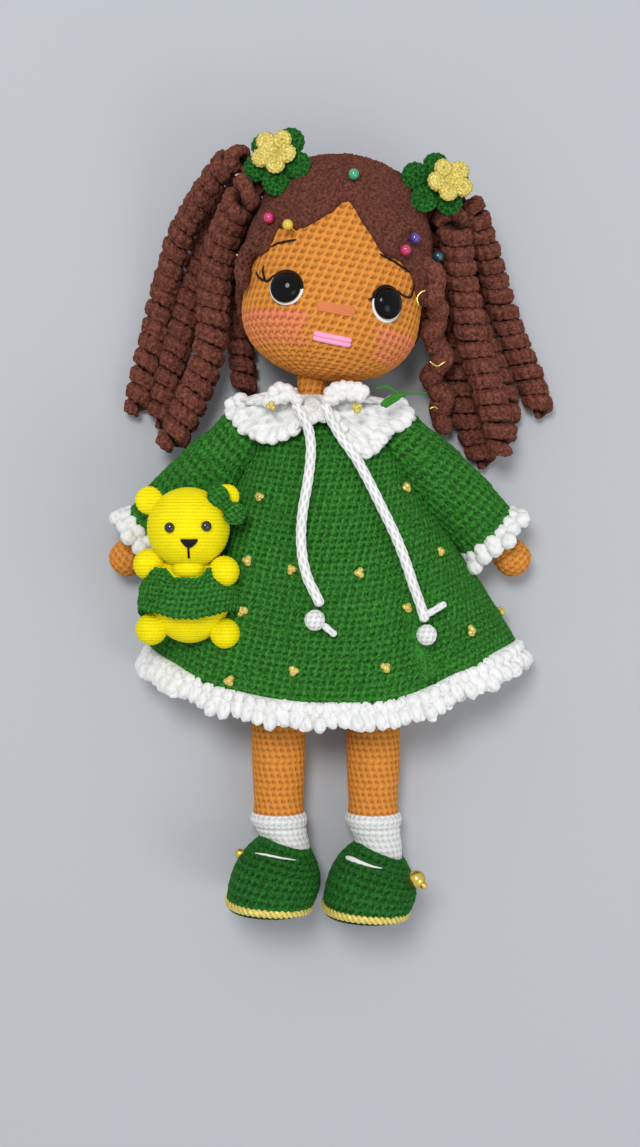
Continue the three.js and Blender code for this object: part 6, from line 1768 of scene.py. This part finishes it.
class DOLL_OT_bear(bpy.types.Operator):
    """Toy bear with its green top and bow"""

    bl_idname = "doll.bear"
    bl_label = "Bear"

    def execute(self, context):
        yellow = bear_yarn()

        def egg(centre, halves, fine, **more):
            return worked_egg(centre, halves, stitch_of("bear"), 0.3, fine, form=ridge, **more)

        head = [egg(BEAR_HEAD, BEAR_HEAD_HALF, 0.35)]
        for place, reach in BEAR_EARS:
            centre = BEAR_HEAD + place
            dent = 0.8, [3.2, 3.2, 30], centre, UP
            head.append(egg(centre, [reach, reach, 2.7], 0.32, dent=dent))
        put("bear_head_yarn", head, yellow, "bear", "bear_head")
        body = egg(BEAR_BODY, BEAR_BODY_HALF, 0.37, seed=2)
        put("bear_body_yarn", body, yellow, "bear", "bear_body")
        for (part, name), (place, radius) in BEAR_LIMBS.items():
            ball = egg(BEAR_BODY + place, [radius] * 3, 0.3, seed=SIDES[name] + 4)
            put(f"bear_{part}_{name}_yarn", ball, yellow, "bear", f"bear_{part}_{name}")
        neck = egg(BEAR_BODY + [0.1, 10.4, 6.6], [6.4, 4.8, 5.8], 0.3)
        put("bear_neck_yarn", neck, yellow, "bear")

        low, high = np.arcsin(np.array([-0.34, 0.73]) * 17 / 20.3)
        steps, around = np.linspace(low, high, 52), even_angles(220, -math.pi)
        rows, is_outer = column(steps, steps[::-1][::4]), column(1 + 0 * steps, 0 * steps[::4])
        share, front = (rows - low) / (high - low), np.cos(around)
        dip = 0.1 * eased(front) + 0.19 * eased((front - 0.84) / 0.16)
        waved = -0.07 * np.cos(around * 3) * (1 - share) - dip * eased(share * 2 - 1)
        outside, inside = (
            ellipsoid(BEAR_BODY, BEAR_BODY_HALF + GAP + wall)(rows + waved, around) for wall in (BEAR_TOP_WALL, 0)
        )
        flare = (1 + 0.09 * (1 - share) ** 2)[..., None]
        grid = np.where(is_outer[..., None] > 0, BEAR_BODY + (outside - BEAR_BODY) * flare, inside)
        extra = 0.5 * cloud(grid, 7, 2) * is_outer
        top = worked(grid, (2.2, 2.1), 0.9, seed=3, loop=True, cover=is_outer, extra=extra)
        put("bear_top_yarn_piece", top, dress_yarn(), "bear", "bear_top")

        bow, turn = BEAR_HEAD + [14.5, 8.2, 0.44 * 13.5], turn_about(2, math.radians(-46))
        lobes = [
            worked_egg(bow + turn @ [side * 4.4, 0, 0.6], [4.2, 4.0, 2.6], (2.0, 1.9), 0.8, 0.35, turn, 5 + side)
            for side in SIDES.values()
        ]
        lobes.append(worked_egg(bow + [0, 0, 1.3], [1.7, 2.4, 2.1], (1.8, 1.6), 0.6, 0.35, turn, 9))
        put("bear_bow_yarn", lobes, dress_yarn(), "bear", "bear_bow")

        angle = np.linspace(-QUARTER + 0.04, QUARTER - 0.04, 18)
        bead, eyes = np.stack([1.95 * np.cos(angle), 0.7 + 1.5 * np.sin(angle)], axis=1), []
        for place in ((-0.362, -0.02), (0.48, 0.015)):
            point, out = on_bear_face(*place)
            eyes.append(turned(bead, facing(out), point, 24))
        put("bear_eyes", eyes, gloss("bead_black_glass", linear("#0A0809"), 0.08, coat=0.5), "bear")

        strands = []
        for off in np.arange(-3, 4) / 3:
            start, out = on_bear_face(0.09 + off * 0.19, -0.29)
            end, out_low = on_bear_face(0.08 + off * 0.03, -0.5 + 0.02 * abs(off))
            middle = (start + end) / 2 + out * 0.9
            strands.append(tube(through([start + out * 0.3, middle, end + out_low * 0.3], 16), 0.55, 8))
        stem = [point + out * 0.3 for point, out in (on_bear_face(0.065, up) for up in (-0.5, -0.62, -0.76))]
        strands.append(tube(through(stem, 16), 0.42, 8))
        put("bear_nose_threads", strands, black_thread(), "bear")
        return {"FINISHED"}


# Stage


class DOLL_OT_stage(bpy.types.Operator):
    """Camera straight over the doll, pale floor, lamps and sky"""

    bl_idname = "doll.stage"
    bl_label = "Stage"

    def execute(self, context):
        scene = context.scene
        _, colours, stage = settings()
        camera = bpy.data.objects.new("camera", bpy.data.cameras.new("camera"))
        camera.location = (0, 0, CAMERA_HEIGHT * MM)
        camera.data.sensor_width = SENSOR
        camera.data.sensor_fit = "AUTO"
        camera.data.lens = FOCAL_PIXELS * SENSOR / PHOTO_LONG_SIDE
        camera.data.clip_start = 0.01
        scene.collection.objects.link(camera)
        scene.camera = camera

        mesh, reach = bpy.data.meshes.new("floor"), 4.0
        corners = [(-reach, -reach, 0), (reach, -reach, 0), (reach, reach, 0), (-reach, reach, 0)]
        mesh.from_pydata(corners, [], [(0, 1, 2, 3)])
        floor = bpy.data.objects.new("floor", mesh)
        floor.location = (0, 0, -0.0002)
        scene.collection.objects.link(floor)
        paper, tree, shader, place = new_material("studio_paper")
        grain = node(tree, "TexNoise", {"Scale": 400, "Detail": 2}, place).outputs["Fac"]
        tones = {6: toned(colours.floor, 0.985), 7: toned(colours.floor, 1.01)}
        shade = node(tree, "Mix", {"data_type": "RGBA"} | tones, {0: grain}).outputs[2]
        node(tree, shader, {"Roughness": 0.95}, {"Base Color": shade})
        mesh.materials.append(paper)

        for name, watts, place, target, wide in (
            ("key", stage.key, (-0.16, 0.36, 1.15), (0, 0.03, 0), 0.4),
            ("fill", stage.fill, (0.75, -0.5, 0.9), (0, 0, 0), 0.7),
        ):
            lamp = bpy.data.lights.new(name, "AREA")
            lamp.energy, lamp.size, lamp.shape = watts, wide, "DISK"
            shown = bpy.data.objects.new(name, lamp)
            shown.location = place
            way = np.array(target) - np.array(place)
            shown.rotation_euler = (
                math.atan2(math.hypot(way[0], way[1]), -way[2]), 0, math.atan2(way[1], way[0]) - QUARTER,
            )
            scene.collection.objects.link(shown)

        world = bpy.data.worlds.new("studio")
        scene.world = world
        world.use_nodes = True
        tree = world.node_tree
        sky, backdrop = linear("#F2F4F8") + (1,), linear("#E4E6EA") + (1,)
        back = node(tree, tree.nodes["Background"], {"Color": sky, "Strength": stage.sky}).outputs[0]
        pale = node(tree, "Background", {"Color": backdrop, "Strength": 1.0}).outputs[0]
        path, most = node(tree, "LightPath").outputs, {"operation": "MAXIMUM"}
        sees = node(tree, "Math", most, {0: path["Is Camera Ray"], 1: path["Is Transmission Ray"]}).outputs[0]
        sees = node(tree, "Math", most, {0: sees, 1: path["Is Glossy Ray"]}).outputs[0]
        mixed = node(tree, "MixShader", None, {0: sees, 1: back, 2: pale}).outputs[0]
        node(tree, tree.nodes["World Output"], None, {"Surface": mixed})
        scene.view_settings.view_transform = "Standard"
        return {"FINISHED"}


OPERATORS = [
    DOLL_OT_stage, DOLL_OT_ties, DOLL_OT_head, DOLL_OT_wig, DOLL_OT_eyes, DOLL_OT_embroidery, DOLL_OT_pins,
    DOLL_OT_curls, DOLL_OT_side_curl, DOLL_OT_flowers, DOLL_OT_torso, DOLL_OT_dress, DOLL_OT_knots, DOLL_OT_hem,
    DOLL_OT_collar, DOLL_OT_arms, DOLL_OT_legs, DOLL_OT_shoes, DOLL_OT_bear,
]


class DOLL_PT_panel(bpy.types.Panel):
    """Sizes, colours and pieces of the doll"""

    bl_idname = "DOLL_PT_panel"
    bl_label = "Crocheted doll"
    bl_space_type = "VIEW_3D"
    bl_region_type = "UI"
    bl_category = "Doll"

    def draw(self, context):
        for group in settings():
            for name in group.__annotations__:
                self.layout.prop(group, name)
        for operator in OPERATORS:
            self.layout.operator(operator.bl_idname)


GROUPS = {"doll_stitches": StitchSettings, "doll_colours": ColourSettings, "doll_stage": StageSettings}


def register():
    for group in [*GROUPS.values(), *OPERATORS, DOLL_PT_panel]:
        bpy.utils.register_class(group)
    for name, group in GROUPS.items():
        setattr(bpy.types.Scene, name, bpy.props.PointerProperty(type=group))


def unregister():
    for name in GROUPS:
        delattr(bpy.types.Scene, name)
    for group in [DOLL_PT_panel, *reversed(OPERATORS), *reversed(list(GROUPS.values()))]:
        bpy.utils.unregister_class(group)


def main():
    register()
    for operator in OPERATORS:
        group, name = operator.bl_idname.split(".")
        getattr(getattr(bpy.ops, group), name)()


if __name__ == "__main__":
    main()
